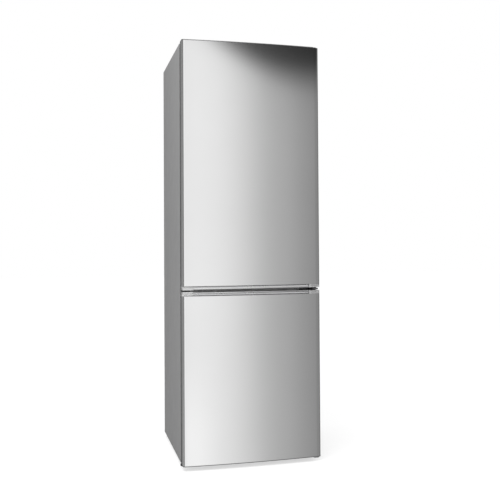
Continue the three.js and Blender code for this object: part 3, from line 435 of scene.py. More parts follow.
def repaint(material, *nodes):
    """Paint solids of the CAD that stay visible."""
    for node in nodes:
        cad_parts[node].data.materials.clear()
        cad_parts[node].data.materials.append(material)


zinc = finish(
    "zinc_plate", (0.50, 0.50, 0.51), (0.58, 0.58, 0.585), (0.37, 0.48), 240.0, 0.00006, Metallic=0.85,
)
repaint(zinc, "back_panel", "base_plate", "compressor_rail")
low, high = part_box("top_panel")
lid_sheet = soften(block("top_sheet", (low.x, low.y + 0.0005, high.z - 0.003), high), 0.001, 2, 30)
header = block("top_header", (-0.2597, low.y, low.z), (0.2597, low.y + 0.002, high.z - 0.001))
fit(add_to(lid_sheet, soften(header, 0.0006, 2, 30)), "cabinet", "cabinet_paint", cabinet_grey, "top_panel")
beam_grey = finish("beam_grey", (0.80, 0.80, 0.80), (0.84, 0.84, 0.84), (0.40, 0.51), 900.0, 0.00002)
beam = soften(block("middle_beam_cover", *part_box("middle_beam")), 0.0008, 2, 30)
fit(beam, "cabinet", "cabinet_paint", beam_grey, "middle_beam")


# Doors. Each front is one sheet of brushed steel, bowed ten millimetres, bent
# round upright corners and folded in along the back of the door.
half_width = 0.3
door_front = -0.315
door_back = -0.267
corner = 0.008
bow = 0.01
bow_half = half_width - corner
bow_radius = (bow_half ** 2 + (bow + corner) ** 2 - corner ** 2) / (2 * bow)
bow_angle = 2 * math.asin(bow_half / (bow_radius - corner))
bow_centre = door_front - bow + bow_radius
# Where the painted shade along the rear of the door sides begins.
painted_shade_edge = -0.286


def spin_on(angle, centre, steps, axis=(0, 0, 1)):
    """Sweep the selected end counterclockwise round a centre; the far end stays selected."""
    bpy.ops.mesh.spin(steps=steps, angle=-angle, center=centre, axis=axis)


def door_plan(name, level, inset, back, lip):
    """Front line of a door, drawn from its left back edge round the bow to its right back edge."""
    side = half_width - inset
    ends = [(side, back, level)] + ([(side - lip, back, level)] if lip else [])
    start = [(-x, y, z) for x, y, z in reversed(ends)]
    piece = drawn(name, start + [(-side, door_front + corner, level)])
    spin_on(math.pi / 2 - bow_angle / 2, (-bow_half, door_front + corner, level), 6)
    spin_on(bow_angle, (0, bow_centre, level), 48)
    spin_on(math.pi / 2 - bow_angle / 2, (bow_half, door_front + corner, level), 6)
    set_mode("OBJECT")
    here = next(vertex.co.copy() for vertex in piece.data.vertices if vertex.select)
    set_mode("EDIT")
    draw_on(here, ends)
    return piece


def raise_up(piece, distance):
    select_all()
    pull((0, 0, distance))
    set_mode("OBJECT")
    return face_outwards(piece)


def door_skin(name, low, high):
    piece = raise_up(door_plan(name, low, 0, door_back, 0.01), high - low)
    wear_modifier(piece, "SOLIDIFY", thickness=0.001, offset=-1)
    return face_outwards(piece)


def door_slab(name, low, high, inset=0.0, back=door_back):
    piece = door_plan(name, low, inset, back, 0)
    close_outline()
    return raise_up(piece, high - low)


# Fine upright lines of brushed steel: thin in width, very long in height.
brushing, into, out = new_group(
    "brushing", {"Place": None, "Lines": 2600.0, "Low": 0.2, "High": 0.3}, ["Gloss", "Height"],
)
squeeze = add_node(brushing, "Mapping", {"Vector": into["Place"], "Scale": (1, 1, 0.006)})
lines = add_node(brushing, "TexNoise", {"Vector": squeeze.outputs[0], "Scale": into["Lines"], "Detail": 3})
brushing.links.new(scaled(brushing, lines.outputs["Fac"], 0.25, 0.75, into["Low"], into["High"]), out["Gloss"])
brushing.links.new(lines.outputs["Fac"], out["Height"])

brushed_steel, tree, shader, place = toned(
    "brushed_steel", (0.80, 0.80, 0.80), (0.83, 0.83, 0.83), 2.5, Metallic=1.0, Specular_IOR_Level=0.5,
)
brush = use_group(tree, brushing, place, Low=0.075, High=0.105)
tree.links.new(brush["Gloss"], shader.inputs["Roughness"])
raise_skin(tree, shader, brush["Height"], 0.00002, 0.25)
# Painted shade: the rear strip of the sides and the folded lip are painted near black and
# not metallic, standing in for the shade in the gap between door and cabinet.
painted_shade_band = scaled(tree, split(tree, place)["Y"], painted_shade_edge - 0.0002, painted_shade_edge + 0.0002)
tint_over(tree, shader, painted_shade_band, (0.035, 0.035, 0.036))
tree.links.new(calculate(tree, 1.0, "SUBTRACT", painted_shade_band), shader.inputs["Metallic"])

for door in ("fridge_door", "freezer_door"):
    low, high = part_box(door + "_panel")
    skin = door_skin(door + "_front", low.z, high.z)
    fit(skin, door, "brushed_steel", brushed_steel, door + "_panel", angle=20)


# End caps. A grey plastic cap closes the top of the fridge door and the
# bottom of the freezer door; the upper one is lower where the hinge arm runs.
def combine(piece, others, how="DIFFERENCE"):
    for other in others:
        wear_modifier(piece, "BOOLEAN", object=other, operation=how, solver="EXACT")
        bpy.data.objects.remove(other)
    return piece


cap_plastic = finish("cap_plastic", (0.17, 0.17, 0.172), (0.20, 0.20, 0.202), (0.37, 0.48), 1500.0, 0.00008)
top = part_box("fridge_door_cap")[1].z
notch = block("notch", (0.255, -0.3128, top - 0.004), (0.31, -0.2, top + 0.001))
swing = block("swing", (0.2778, -0.4, top - 0.005), (0.32, -0.3, top + 0.002))
cap = combine(door_slab("fridge_door_top_cap", top - 0.003, top), [notch, swing])
soften(cap, 0.0006)
plug = door_slab("plug", top - 0.019, top - 0.0031, 0.0013)
fit(add_to(cap, plug), "fridge_door", "grey_plastic", cap_plastic, "fridge_door_cap")
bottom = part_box("freezer_door_cap")[0].z
cap = soften(door_slab("freezer_door_bottom_cap", bottom, bottom + 0.003), 0.0006)
plug = door_slab("plug", bottom + 0.0031, bottom + 0.021, 0.0013)
fit(add_to(cap, plug), "freezer_door", "grey_plastic", cap_plastic, "freezer_door_cap")


# Coved edges. A glossy metallic cove borders the hand slot above and below,
# with a finger channel behind its lip and a plastic block closing each end.
cove = 0.0145
cove_inset = 0.0005
channel_front = 0.0175
channel_back = 0.038
channel_top = 0.018
edge_top = 0.026
metal_half = 0.252


def sweep_edge(name, start_x, end_x, level, up, steps, hollow=False, scoop=cove, drop=0.0):
    """Cross-section of a coved edge, closed by its concave quarter circle, swept along the bow."""
    start = math.asin(start_x / bow_radius)
    finish_angle = math.asin(end_x / bow_radius)

    def at(depth, rise):
        reach = bow_radius - cove_inset - depth
        return (math.sin(start) * reach, bow_centre - math.cos(start) * reach, level + up * rise)

    outline = [(0, scoop), (0, cove), (0.0015, cove), (0.0015, edge_top), (0.08, edge_top), (0.08, -drop)]
    if hollow:
        outline += [(channel_back, 0), (channel_back, channel_top)]
        outline += [(channel_front, channel_top), (channel_front, 0)]
    piece = drawn(name, [at(*point) for point in outline + [(scoop, -drop), (scoop, 0)]])
    spin_on(up * math.pi / 2, at(0, 0), 16, axis=(math.cos(start), math.sin(start), 0))
    select_all()
    bpy.ops.mesh.remove_doubles(threshold=1e-5)
    close_outline()
    spin_on(finish_angle - start, (0, bow_centre, level), steps)
    set_mode("OBJECT")
    low, high = sorted((level - up * 0.01, level + up * 0.04))
    return combine(face_outwards(piece), [door_slab("trim", low, high, 0.0003)], "INTERSECT")


grip_metal = finish(
    "grip_metal", (0.74, 0.74, 0.745), (0.78, 0.78, 0.785), (0.26, 0.33), 900.0, 0.00001,
    drift=3.0, patches=20.0, Metallic=1.0,
)
end_plastic = finish(
    "end_plastic", (0.74, 0.74, 0.742), (0.78, 0.78, 0.782), (0.25, 0.36), 1400.0, 0.00006, Metallic=0.8,
)
end_blocks = (
    ("left", -0.31, -metal_half - 0.0002, {"drop": 0.003}),
    ("right", metal_half + 0.0002, 0.31, {"scoop": 0.006}),
)
for door, mouth, up in (("fridge", 0, 1), ("freezer", 1, -1)):
    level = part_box(door + "_grip")[mouth].z
    edge = sweep_edge(f"{door}_cove", -metal_half, metal_half, level, up, 48, hollow=True)
    fit(edge, f"{door}_door", "grip_metal", grip_metal, f"{door}_grip", angle=25)
    for hand, start_x, end_x, form in end_blocks:
        closing = sweep_edge(f"{door}_cove_end_{hand}", start_x, end_x, level, up, 8, **form)
        soften(closing, 0.0005)
        fit(closing, f"{door}_door", "grey_plastic", end_plastic, angle=30)


# Seals. A soft grey magnetic seal runs round each door: a flat foot held by the
# liner, a thin folded neck and a rounded magnet strip that meets the cabinet.
def ring(name, low, high, width, soft, segments):
    """Upright rectangular frame between two corners, with softened bars."""
    piece = block(name, low, high)
    pick(piece, "FACE", lambda middle, normal: abs(normal.y) > 0.9)
    bpy.ops.mesh.inset(thickness=width)
    bpy.ops.mesh.bridge_edge_loops()
    set_mode("OBJECT")
    return soften(piece, soft, segments, 30)


rubber = finish("soft_seal", (0.19, 0.19, 0.195), (0.23, 0.23, 0.235), (0.57, 0.68), 1100.0, 0.0001)
seal_layers = (
    (0.0000, 0.0028, 0.0000, 0.017),
    (0.0026, 0.0050, 0.0042, 0.009),
    (0.0048, 0.0082, 0.0020, 0.013),
    (0.0080, 0.0106, 0.0042, 0.009),
    (0.0104, 0.0171, 0.0010, 0.015),
)
for door in ("fridge", "freezer"):
    low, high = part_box(f"{door}_gasket")
    layers = [
        ring(
            f"{door}_seal_0", (low.x + inset, low.y + front, low.z + inset),
            (high.x - inset, low.y + back, high.z - inset), width, min(0.0012, (back - front) * 0.4), 3,
        )
        for front, back, inset, width in seal_layers
    ]
    fit(add_to(*layers), f"{door}_door", "seal_rubber", rubber, f"{door}_gasket", angle=50)


# Door liners. White sheet formed over a mould: the fridge door's rises in a
# ring of ribs that hold the bins, the freezer door's in one flat field.
def step_to(old, new, rise):
    """Draw the selected field in from one (left, right, bottom, top) to another and press it out by rise."""
    edge = 0.0005
    bpy.ops.mesh.inset(thickness=edge)
    left, right, bottom, top = old[0] + edge, old[1] - edge, old[2] + edge, old[3] - edge
    middle = ((left + right) / 2, liner_back, (bottom + top) / 2)
    share = ((new[1] - new[0]) / (right - left), 1, (new[3] - new[2]) / (top - bottom))
    bpy.ops.transform.resize(value=share, center_override=middle)
    shift = ((new[0] + new[1]) / 2 - middle[0], rise, (new[2] + new[3]) / 2 - middle[2])
    bpy.ops.transform.translate(value=shift)


def formed_sheet(door, steps, radius, segments, angle):
    """Door liner: each step gives half the field's width, its bottom and top, and the rise to it."""
    low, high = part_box(f"{door}_liner")
    sheet = drawn(f"{door}_inside", [
        (x, liner_back, z) for x, z in ((low.x, low.z), (low.x, high.z), (high.x, high.z), (high.x, low.z))
    ])
    close_outline()
    field = (low.x, high.x, low.z, high.z)
    for half, bottom, top, rise in steps:
        step_to(field, (-half, half, bottom, top), rise)
        field = (-half, half, bottom, top)
    set_mode("OBJECT")
    soften(sheet, radius, segments, angle=angle)
    wear_modifier(sheet, "SOLIDIFY", thickness=0.002, offset=1)
    fit(sheet, door, "white_liner", white_plastic, f"{door}_liner", angle=45)


liner_back = -0.2647
rib_height = 0.0627
white_plastic = finish("white_sheet", (0.80, 0.81, 0.80), (0.85, 0.855, 0.85), (0.25, 0.36), 800.0, 0.00005)
ribs_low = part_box("fridge_door_liner")[0].z + 0.0365
formed_sheet("fridge_door", (
    (0.246, ribs_low, 1.735, 0),
    (0.2445, ribs_low + 0.0015, 1.7335, rib_height),
    (0.2065, ribs_low + 0.0165, 1.6915, 0),
    (0.205, ribs_low + 0.018, 1.690, -rib_height),
    (0.175, 0.97, 1.15, 0),
    (0.171, 0.974, 1.146, 0.0004),
), 0.0055, 5, 20)
relief_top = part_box("freezer_door_liner")[1].z - 0.060
formed_sheet("freezer_door", (
    (0.2, 0.106, relief_top, 0),
    (0.197, 0.109, relief_top - 0.003, 0.0045),
), 0.0016, 4, 15)


# Door bins and flap. Clear moulded bins hook in between the ribs, each with a
# satin metal band along its front; the top one is closed by a hinged flap.
def tray(name, low, high, wall, radius, foot=0.004, thick_front=0.0):
    """Open-topped moulded box with rounded upright corners and a rounded foot."""
    low, high = Vector(low), Vector(high)
    height = high.z - low.z
    piece = block(name, low, high)
    round_off(piece, "EDGE", lambda a, b: abs(a.z - b.z) > height / 2, radius, 6)
    round_off(piece, "FACE", lambda middle, normal: normal.z < -0.9, foot, 3)
    pick(piece, "FACE", lambda middle, normal: normal.z > 0.9)
    bpy.ops.mesh.inset(thickness=wall)
    pull((0, 0, wall - height))
    bevel_selected(foot * 0.7, 3)
    if thick_front:
        pick(piece, "FACE", lambda middle, normal: normal.y > 0.9 and middle.y < low.y + 2 * wall)
        pull((0, thick_front, 0))
    set_mode("OBJECT")
    return piece


def bars_across(name, centres, half, low, high, *soft):
    """A bar at each of these x places, between two (y, z) corners, softened if asked."""
    bars = [block(name, (x - half, *low), (x + half, *high)) for x in centres]
    return [soften(bar, *soft) for bar in bars] if soft else bars


def round_bar(name, radius, start, end, sides=24):
    deselect()
    start, end = Vector(start), Vector(end)
    bpy.ops.mesh.primitive_cylinder_add(
        radius=radius, depth=(end - start).length, location=(start + end) / 2, vertices=sides,
        rotation=(end - start).to_track_quat("Z", "Y").to_euler(),
    )
    return fresh(name)


def rods_across(name, places, radius, low, high, sides=24):
    """A round bar at each of these x places, between two (y, z) points."""
    return [round_bar(name, radius, (x, *low), (x, *high), sides) for x in places]


def let_light_pass(material, tone):
    """Clear pieces pass the room's light on, so that they cast no black shadow."""
    tree = material.node_tree
    rays = add_node(tree, "LightPath").outputs
    lighting = calculate(tree, rays["Is Shadow Ray"], "MAXIMUM", rays["Is Diffuse Ray"])
    through = add_node(tree, "BsdfTransparent", {"Color": (*tone, 1)})
    solid = tree.nodes["Principled BSDF"].outputs[0]
    show(tree, add_node(tree, "MixShader", {"Fac": lighting, 1: solid, 2: through.outputs[0]}))


clear_plastic = finish(
    "clear_moulding", (0.91, 0.935, 0.945), (0.95, 0.97, 0.975), (0.10, 0.17), 500.0, 0.00004,
    drift=4.0, patches=18.0, Transmission_Weight=0.85, IOR=1.46, Specular_IOR_Level=0.5,
)
let_light_pass(clear_plastic, (0.84, 0.86, 0.87))
satin_band = finish(
    "satin_band", (0.52, 0.52, 0.53), (0.58, 0.58, 0.585), (0.25, 0.36), 1200.0, 0.00003, Metallic=0.9,
)
for name in ("dairy_bin", "door_bin", "bottle_bin"):
    low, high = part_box(name)
    holder = tray(name + "_body", low, high - Vector((0, 0.0016, 0)), 0.0026, 0.006)
    soften(holder, 0.0006)
    ribs = bars_across(
        "floor_rib", [i * 0.05 for i in range(-3, 4)], 0.0008,
        (low.y + 0.008, low.z + 0.0024), (high.y - 0.010, low.z + 0.0040),
    )
    fit(add_to(holder, *ribs), "fridge_door", "clear_plastic", clear_plastic, name, angle=40)
    band = block(
        name + "_band", (low.x + 0.009, high.y - 0.0015, high.z - 0.017),
        (high.x - 0.009, high.y, high.z - 0.003),
    )
    fit(soften(band, 0.0007, 3, 30), "fridge_door", "grip_metal", satin_band)

low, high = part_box("dairy_lid")
axis_y, axis_z = -0.2614, 1.578
flap = block("dairy_flap", (low.x, axis_y, low.z), (high.x, high.y, low.z + 0.0024))
round_off(flap, "EDGE", lambda a, b: abs(a.z - b.z) > 0.002 and a.y > -0.2, 0.008, 5)
soften(flap, 0.0005)
barrel = round_bar("barrel", 0.0026, (low.x, axis_y, axis_z), (high.x, axis_y, axis_z))
soften(barrel, 0.0005)
lip = block("lip", (-0.06, high.y - 0.0045, low.z + 0.0022), (0.06, high.y - 0.0004, low.z + 0.0050))
soften(lip, 0.0012, 3, 30)
ribs = bars_across(
    "flap_rib", [i * 0.045 for i in range(-4, 5)], 0.0007,
    (axis_y + 0.004, low.z + 0.0022), (high.y - 0.012, low.z + 0.0034),
)
fit(add_to(flap, barrel, lip, *ribs), "dairy_lid", "clear_plastic", clear_plastic, "dairy_lid", angle=40)


# Hinges. Zinc-plated plates with a round-nosed arm and a pin each: one on the
# cabinet top, one on the beam in the hand slot, one on the right foot bracket.
def plate(name, low, high, radius, along=2, soft=0.0004):
    """Flat plate with corners rounded along its thin axis."""
    piece = block(name, low, high)
    thick = high[along] - low[along]
    round_off(piece, "EDGE", lambda a, b: abs(a[along] - b[along]) > thick / 2, radius, 5)
    return soften(piece, soft)


def screw(seat, axis, out, radius, height):
    """Screw head with a cross recess, standing on seat along an axis."""
    seat = Vector(seat)
    top = seat.copy()
    top[axis] += out * height
    head = round_bar("screw", radius, seat, top)
    cuts = []
    for wide in [i for i in range(3) if i != axis]:
        reach = Vector((0.0005, 0.0005, 0.0005))
        reach[wide] = radius * 0.6
        reach[axis] = height * 0.6
        cuts.append(block("recess", top - reach, top + reach))
    return soften(combine(head, cuts), 0.00025, 1)


hinge_x, hinge_y = 0.282, -0.298
nose = 0.014


def hinge_arm(rear, low, high):
    """Flat arm that ends in a half-round nose about the hinge axis."""
    right, left = hinge_x + nose, hinge_x - nose
    piece = drawn("arm", [(right, rear, low), (left, rear, low), (left, hinge_y, low)])
    spin_on(math.pi, (hinge_x, hinge_y, low), 16)
    select_all()
    bpy.ops.mesh.remove_doubles(threshold=1e-5)
    close_outline()
    return soften(raise_up(piece, high - low), 0.0004)


def pin(low, high, radius=0.004):
    piece = round_bar("pin", radius, (hinge_x, hinge_y, low), (hinge_x, hinge_y, high))
    return soften(piece, 0.0006)


def stud_hole(x):
    return rods_across("stud_hole", [x], 0.0054, (-0.222, 0.04), (-0.222, 0.05))


hinge_steel = finish(
    "hinge_steel", (0.13, 0.13, 0.135), (0.17, 0.17, 0.175), (0.33, 0.44), 600.0, 0.00004, Metallic=0.8,
)
low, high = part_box("top_hinge")
places = (0.262, 0.288)
wing = plate("top_hinge_wing", (low.x, -0.2467, 1.7973), (high.x, high.y, 1.8), 0.006)
combine(wing, rods_across("hole", places, 0.0046, (-0.214, 1.79), (-0.214, 1.81)))
parts = [hinge_arm(-0.2472, 1.7973, 1.8), pin(low.z, 1.7975)]
parts += [screw((x, -0.214, 1.7974), 2, 1, 0.0043, 0.0024) for x in places]
fit(add_to(wing, *parts), "cabinet", "zinc_steel", zinc, "top_hinge", angle=40)

low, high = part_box("middle_hinge")
level = (low.z + high.z) / 2
base = plate(
    "middle_hinge_plate", (low.x, -0.25, level - 0.012), (high.x, -0.2473, level + 0.012), 0.004, along=1,
)
parts = [hinge_arm(-0.2495, level - 0.0025, level + 0.0025), pin(level + 0.0020, level + 0.0060, 0.007)]
parts += [pin(low.z, high.z)] + [screw((x, -0.25, level), 1, -1, 0.0042, 0.0016) for x in (0.235, 0.256)]
fit(add_to(base, *parts), "cabinet", "zinc_steel", hinge_steel, "middle_hinge", angle=40)

low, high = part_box("bottom_hinge")
bracket = plate("bottom_hinge_bracket", (low.x, -0.236, 0.0447), (high.x, high.y, 0.0477), 0.003)
combine(bracket, stud_hole(0.276))
parts = [plate("web", (low.x, -0.241, low.z), (0.298, -0.235, 0.0477), 0.003, along=1)]
parts += [hinge_arm(-0.2395, 0.013, 0.017), pin(0.0165, 0.0177, 0.007), pin(0.0165, 0.028)]
parts += [screw((x, -0.241, 0.036), 1, -1, 0.0038, 0.0016) for x in places]
fit(add_to(bracket, *parts), "cabinet", "zinc_steel", zinc, "bottom_hinge", angle=40)


# Underside at the front: the left foot's bracket, the slotted black plinth plate
# and two levelling feet, each a round pad on a threaded stud.
def turned(name, profile, place, axis=2, steps=32):
    """Body of revolution: profile lists (radius, height) in millimetres along an axis through place."""
    place = Vector(place)

    def at(radius, height):
        point = [0, 0, 0]
        point[axis] = height / 1000
        point[1 if axis == 0 else 0] = radius / 1000
        return place + Vector(point)

    piece = drawn(name, [at(*point) for point in profile])
    select_all()
    spin_on(2 * math.pi, place, steps, axis=[int(i == axis) for i in range(3)])
    set_mode("OBJECT")
    return face_outwards(piece)


low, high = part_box("foot_bracket_left")
bracket = combine(plate("foot_bracket", low, high, 0.004), stud_hole(-0.276))
fit(bracket, "cabinet", "zinc_steel", zinc, "foot_bracket_left", angle=40)

black_plastic = finish(
    "black_moulding", (0.016, 0.016, 0.017), (0.024, 0.024, 0.025), (0.43, 0.54), 900.0, 0.0001,
)
low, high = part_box("kick_plate")
plinth = block("plinth", (low.x, -0.241, low.z), (high.x, -0.238, high.z))
slots = bars_across("slot", [-0.203 + 0.02 * i for i in range(20)], 0.007, (-0.25, 0.0275), (-0.23, 0.0325))
soften(combine(plinth, slots), 0.0004, 1)
fold = soften(block("fold", (-0.2497, -0.2385, 0.0447), (high.x, high.y, 0.0477)), 0.0008, 2, 30)
fit(add_to(plinth, fold), "cabinet", "black_plastic", black_plastic, "kick_plate", angle=40)

profile = [(0, 0), (19.5, 0), (21.2, 0.6), (22, 2)]
for i in range(4):
    profile += [(22, 2.6 + 1.1 * i), (21.4, 3.1 + 1.1 * i)]
profile += [(22, 7), (21.2, 8.2), (19.5, 9), (10.5, 9.8), (10, 10.4), (10, 11.6), (9.4, 12), (4.8, 12)]
for i in range(27):
    profile += [(4.3, 12.6 + 1.25 * i), (5, 13.22 + 1.25 * i)]
profile += [(4.3, 46.9), (4.3, 47.7), (0, 47.7)]
for hand, x in (("left", -0.276), ("right", 0.276)):
    foot = turned(f"levelling_foot_{hand}", profile, (x, -0.222, 0))
    fit(foot, f"foot_{hand}", "black_plastic", black_plastic, f"foot_{hand}")


# Liners. Each compartment is one white sheet drawn into a box with rounded
# inside corners and a flange at its front, with moulded ledges along its walls.
def formed_liner(piece, bottom, top, radius, widen):
    """Open the front of a closed box, round its inside, turn out its flange and give it a thickness."""
    pick(piece, "FACE", lambda centre, normal: normal.y < -0.9 and centre.y < opening + 0.001)
    bpy.ops.mesh.delete(type="ONLY_FACE")
    pick(piece, "EDGE", lambda a, b: a.y > opening + 0.001 or b.y > opening + 0.001)
    bevel_selected(radius, 6)
    pick(piece, "EDGE", lambda a, b: max(a.y, b.y) < opening + 0.0001)
    pull((0, 0, 0))
    turned_out = (widen, 1, 1 + 0.0034 / (top - bottom))
    bpy.ops.transform.resize(value=turned_out, center_override=(0, opening, (bottom + top) / 2))
    select_all()
    bpy.ops.mesh.normals_make_consistent(inside=False)
    set_mode("OBJECT")
    wear_modifier(piece, "SOLIDIFY", thickness=0.002, offset=-1)


def extruded(name, left, right, profile):
    """Outline of (y, z) points pulled from left to right."""
    piece = drawn(name, [(left, y, z) for y, z in profile])
    close_outline()
    pull((right - left, 0, 0))
    set_mode("OBJECT")
    return face_outwards(piece)


opening = -0.247
sheet_thickness = 0.002
rear = 0.243
low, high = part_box("fridge_liner")
floor_level, ceiling = low.z + sheet_thickness, high.z - sheet_thickness
shell = block("fridge_inside", (-0.2565, opening, floor_level), (0.2565, rear, ceiling))
formed_liner(shell, floor_level, ceiling, 0.012, 0.2582 / 0.2565)
parts = []
panes = ("crisper_cover", "glass_shelf_lower", "glass_shelf_middle", "glass_shelf_upper")
for level in [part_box(pane)[0].z - 0.0003 for pane in panes]:
    sides = (-0.2516, 0.2516)
    parts += bars_across("ledge", sides, 0.0056, (-0.146, level - 0.008), (0.236, level), 0.0022, 3, 30)
places = [-0.176 + 0.044 * i for i in range(9)]
parts += bars_across("wall_rib", places, 0.0016, (0.2415, 1.03), (0.2436, 1.69), 0.0009, 2, 30)
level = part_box("crisper_cover")[1].z + 0.008
parts.append(soften(block("gutter", (-0.2, 0.2385, level), (0.2, 0.2436, level + 0.012)), 0.0022, 3, 30))
level += 0.018
spout = round_bar("spout", 0.011, (0, 0.2389, level), (0, 0.2436, level), 32)
combine(spout, [round_bar("drain", 0.0065, (0, 0.23, level), (0, 0.2425, level))])
parts.append(soften(spout, 0.0008))
fit(add_to(shell, *parts), "cabinet", "white_liner", white_plastic, "fridge_liner", angle=45)

low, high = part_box("freezer_liner")
floor_level, ceiling = low.z + sheet_thickness, high.z - sheet_thickness
step_front, step_level = 0.050, 0.310
shell = extruded("freezer_inside", -0.237, 0.237, [
    (opening, floor_level), (step_front, floor_level), (step_front, step_level),
    (rear, step_level), (rear, ceiling), (opening, ceiling),
])
formed_liner(shell, floor_level, ceiling, 0.007, 0.2595 / 0.237)
parts = []
for node, ledge_rear in (("freezer_evaporator_lower", 0.046), ("freezer_evaporator_upper", 0.236)):
    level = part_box(node)[0].z - 0.0003
    sides = (-0.22785, 0.22785)
    parts += bars_across("ledge", sides, 0.00985, (-0.210, level - 0.008), (ledge_rear, level), 0.002, 3, 30)
fit(add_to(shell, *parts), "cabinet", "white_liner", white_plastic, "freezer_liner", angle=45)


# Shelves. Toughened glass with ground edges lies on the ledges; a grey moulded
# rail with a finger groove grips the front edge of each of the upper three.
glass = finish(
    "clear_glass", (0.84, 0.92, 0.89), (0.88, 0.94, 0.92), (0.02, 0.05), 60.0, 0.00001,
    drift=3.0, patches=9.0, bump=0.1, Transmission_Weight=0.9, IOR=1.5, Specular_IOR_Level=0.5,
)
let_light_pass(glass, (0.86, 0.90, 0.88))
rail_plastic = finish("rail_moulding", (0.30, 0.305, 0.31), (0.34, 0.345, 0.35), (0.31, 0.42), 900.0, 0.00006)
for node in panes:
    pane = plate(node + "_pane", *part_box(node), 0.004, soft=0.0008)
    fit(pane, "cabinet", "clear_glass", glass, node, angle=40)
for node in ("shelf_rail_lower", "shelf_rail_middle", "shelf_rail_upper"):
    low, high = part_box(node)
    rail = extruded(node + "_profile", low.x, high.x, [
        (high.y, low.z), (high.y, low.z + 0.0044), (low.y + 0.0068, low.z + 0.0044),
        (low.y + 0.0068, low.z + 0.0095), (high.y, low.z + 0.0095), (high.y, high.z - 0.0016),
        (high.y - 0.0014, high.z), (low.y + 0.004, high.z), (low.y + 0.0012, high.z - 0.0012),
        (low.y, high.z - 0.004), (low.y + 0.0012, high.z - 0.0062), (low.y + 0.0012, low.z + 0.0045),
        (low.y, low.z + 0.0028), (low.y + 0.0012, low.z),
    ])
    fit(soften(rail, 0.0004, 2, 30), "cabinet", "grey_plastic", rail_plastic, node, angle=40)


# Drawers. Clear moulded boxes with rounded corners, a recessed finger grip along
# the top of a thicker front and ribs on their sides and floor.
def drawer(name, node, body):
    low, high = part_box(node)
    piece = tray(name, low, high, 0.0025, 0.006, thick_front=0.0035)
    grip = 0.112
    hood = block("hood", (-grip, low.y + 0.003, high.z - 0.020), (grip, low.y + 0.020, high.z))
    combine(piece, [hood], "UNION")
    hollow = block(
        "hollow", (0.0025 - grip, low.y - 0.01, high.z - 0.021),
        (grip - 0.0025, low.y + 0.0175, high.z - 0.0025),
    )
    soften(combine(piece, [hollow]), 0.0006)
    parts = bars_across(
        "floor_rib", [i * 0.055 for i in range(-3, 4)], 0.0008,
        (low.y + 0.02, low.z + 0.0023), (high.y - 0.012, low.z + 0.0036),
    )
    parts.append(ring(
        "front_field", (-0.19, low.y + 0.0001, low.z + 0.03),
        (0.19, low.y + 0.0012, high.z - 0.032), 0.0014, 0.0002, 1,
    ))
    runner = (low.y + 0.02, high.z - 0.012), (high.y - 0.008, high.z - 0.009)
    parts += bars_across("runner", (-0.2205, 0.2205), 0.002, *runner, 0.0006, 1, 30)
    fit(add_to(piece, *parts), body, "clear_plastic", clear_plastic, node, angle=40)


drawer("vegetable_drawer", "crisper_drawer", "crisper")
for level in ("top", "middle", "bottom"):
    drawer(f"freezer_box_{level}", f"freezer_drawer_{level}", f"freezer_drawer_{level}")


# Control housing. A white moulding under the ceiling carries the lamp behind a
# ribbed diffuser, the thermostat knob with its tick marks and the light switch.
def on_circle(radius, turn):
    """Place on a circle about the knob's shaft: turn goes from +x towards +z."""
    return shaft_x + radius * math.cos(turn), control_level + radius * math.sin(turn)


low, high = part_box("control_housing")
face = -0.165
shaft_x, switch_x, control_level = -0.070, 0.090, 1.723
housing = plate("housing", (low.x, face, low.z), high, 0.010, soft=0.0018)
tower = plate("tower", (0.060, low.y, low.z), (high.x, face + 0.03, high.z), 0.006, soft=0.0018)
combine(housing, [tower], "UNION")
cuts = [block("lamp_room", (-0.060, -0.140, low.z - 0.01), (0.060, -0.020, high.z - 0.010))]
for x, front, depth, radius in ((shaft_x, face, 0.012, 0.0045), (switch_x, low.y, 0.024, 0.0044)):
    cuts += rods_across("hole", [x], radius, (front - 0.01, control_level), (front + depth, control_level))
vents = [-0.0275 + 0.011 * i for i in range(7)]
cuts += bars_across("vent", vents, 0.0025, (face - 0.01, 1.711), (face + 0.004, 1.736))
combine(housing, cuts)
ticks = []
for i in range(8):
    x, z = on_circle(0.0186, math.radians(270 / 7 * i - 45))
    ticks.append(round_bar("tick", 0.0009 + 0.00012 * i, (x, face - 0.00025, z), (x, face + 0.001, z), 16))
fit(add_to(housing, *ticks), "cabinet", "white_liner", white_plastic, "control_housing", angle=40)

diffuser = finish(
    "lamp_diffuser", (0.86, 0.85, 0.80), (0.91, 0.90, 0.86), (0.35, 0.45), 900.0, 0.00005,
    drift=6.0, patches=20.0, Transmission_Weight=0.35, IOR=1.45, Subsurface_Weight=0.2,
)
low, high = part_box("lamp_lens")
cover = plate("lamp_cover", low + Vector((0, 0, 0.0009)), high, 0.004, soft=0.0006)
level = low.z + 0.0014
places = [low.x + 0.006 + 0.0042 * i for i in range(28)]
flutes = rods_across("flute", places, 0.0014, (low.y + 0.006, level), (high.y - 0.006, level), 12)
fit(add_to(cover, *flutes), "cabinet", "lamp_diffuser", diffuser, "lamp_lens", angle=40)

low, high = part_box("thermostat_knob")
profile = [(0, 25.3), (3.5, 25.3), (4, 24.8), (4, 16), (16.2, 16), (17, 15.2)]
profile += [(17, 12.6), (16.2, 12), (11.9, 11.8), (11, 1), (10, 0), (0, 0)]
knob = turned("knob", profile, (shaft_x, low.y, control_level), axis=1, steps=40)
ridge = block(
    "ridge", (shaft_x - 0.0016, low.y + 0.0028, control_level),
    (shaft_x + 0.0016, low.y + 0.013, control_level + 0.0155),
)
parts = [soften(ridge, 0.0008, 3, 30)]
for i in range(24):
    x, z = on_circle(0.0165, 2 * math.pi * i / 24)
    parts.append(round_bar("nub", 0.0005, (x, low.y + 0.0128, z), (x, low.y + 0.0150, z), 8))
fit(add_to(knob, *parts), "thermostat", "grey_plastic", rail_plastic, "thermostat_knob")

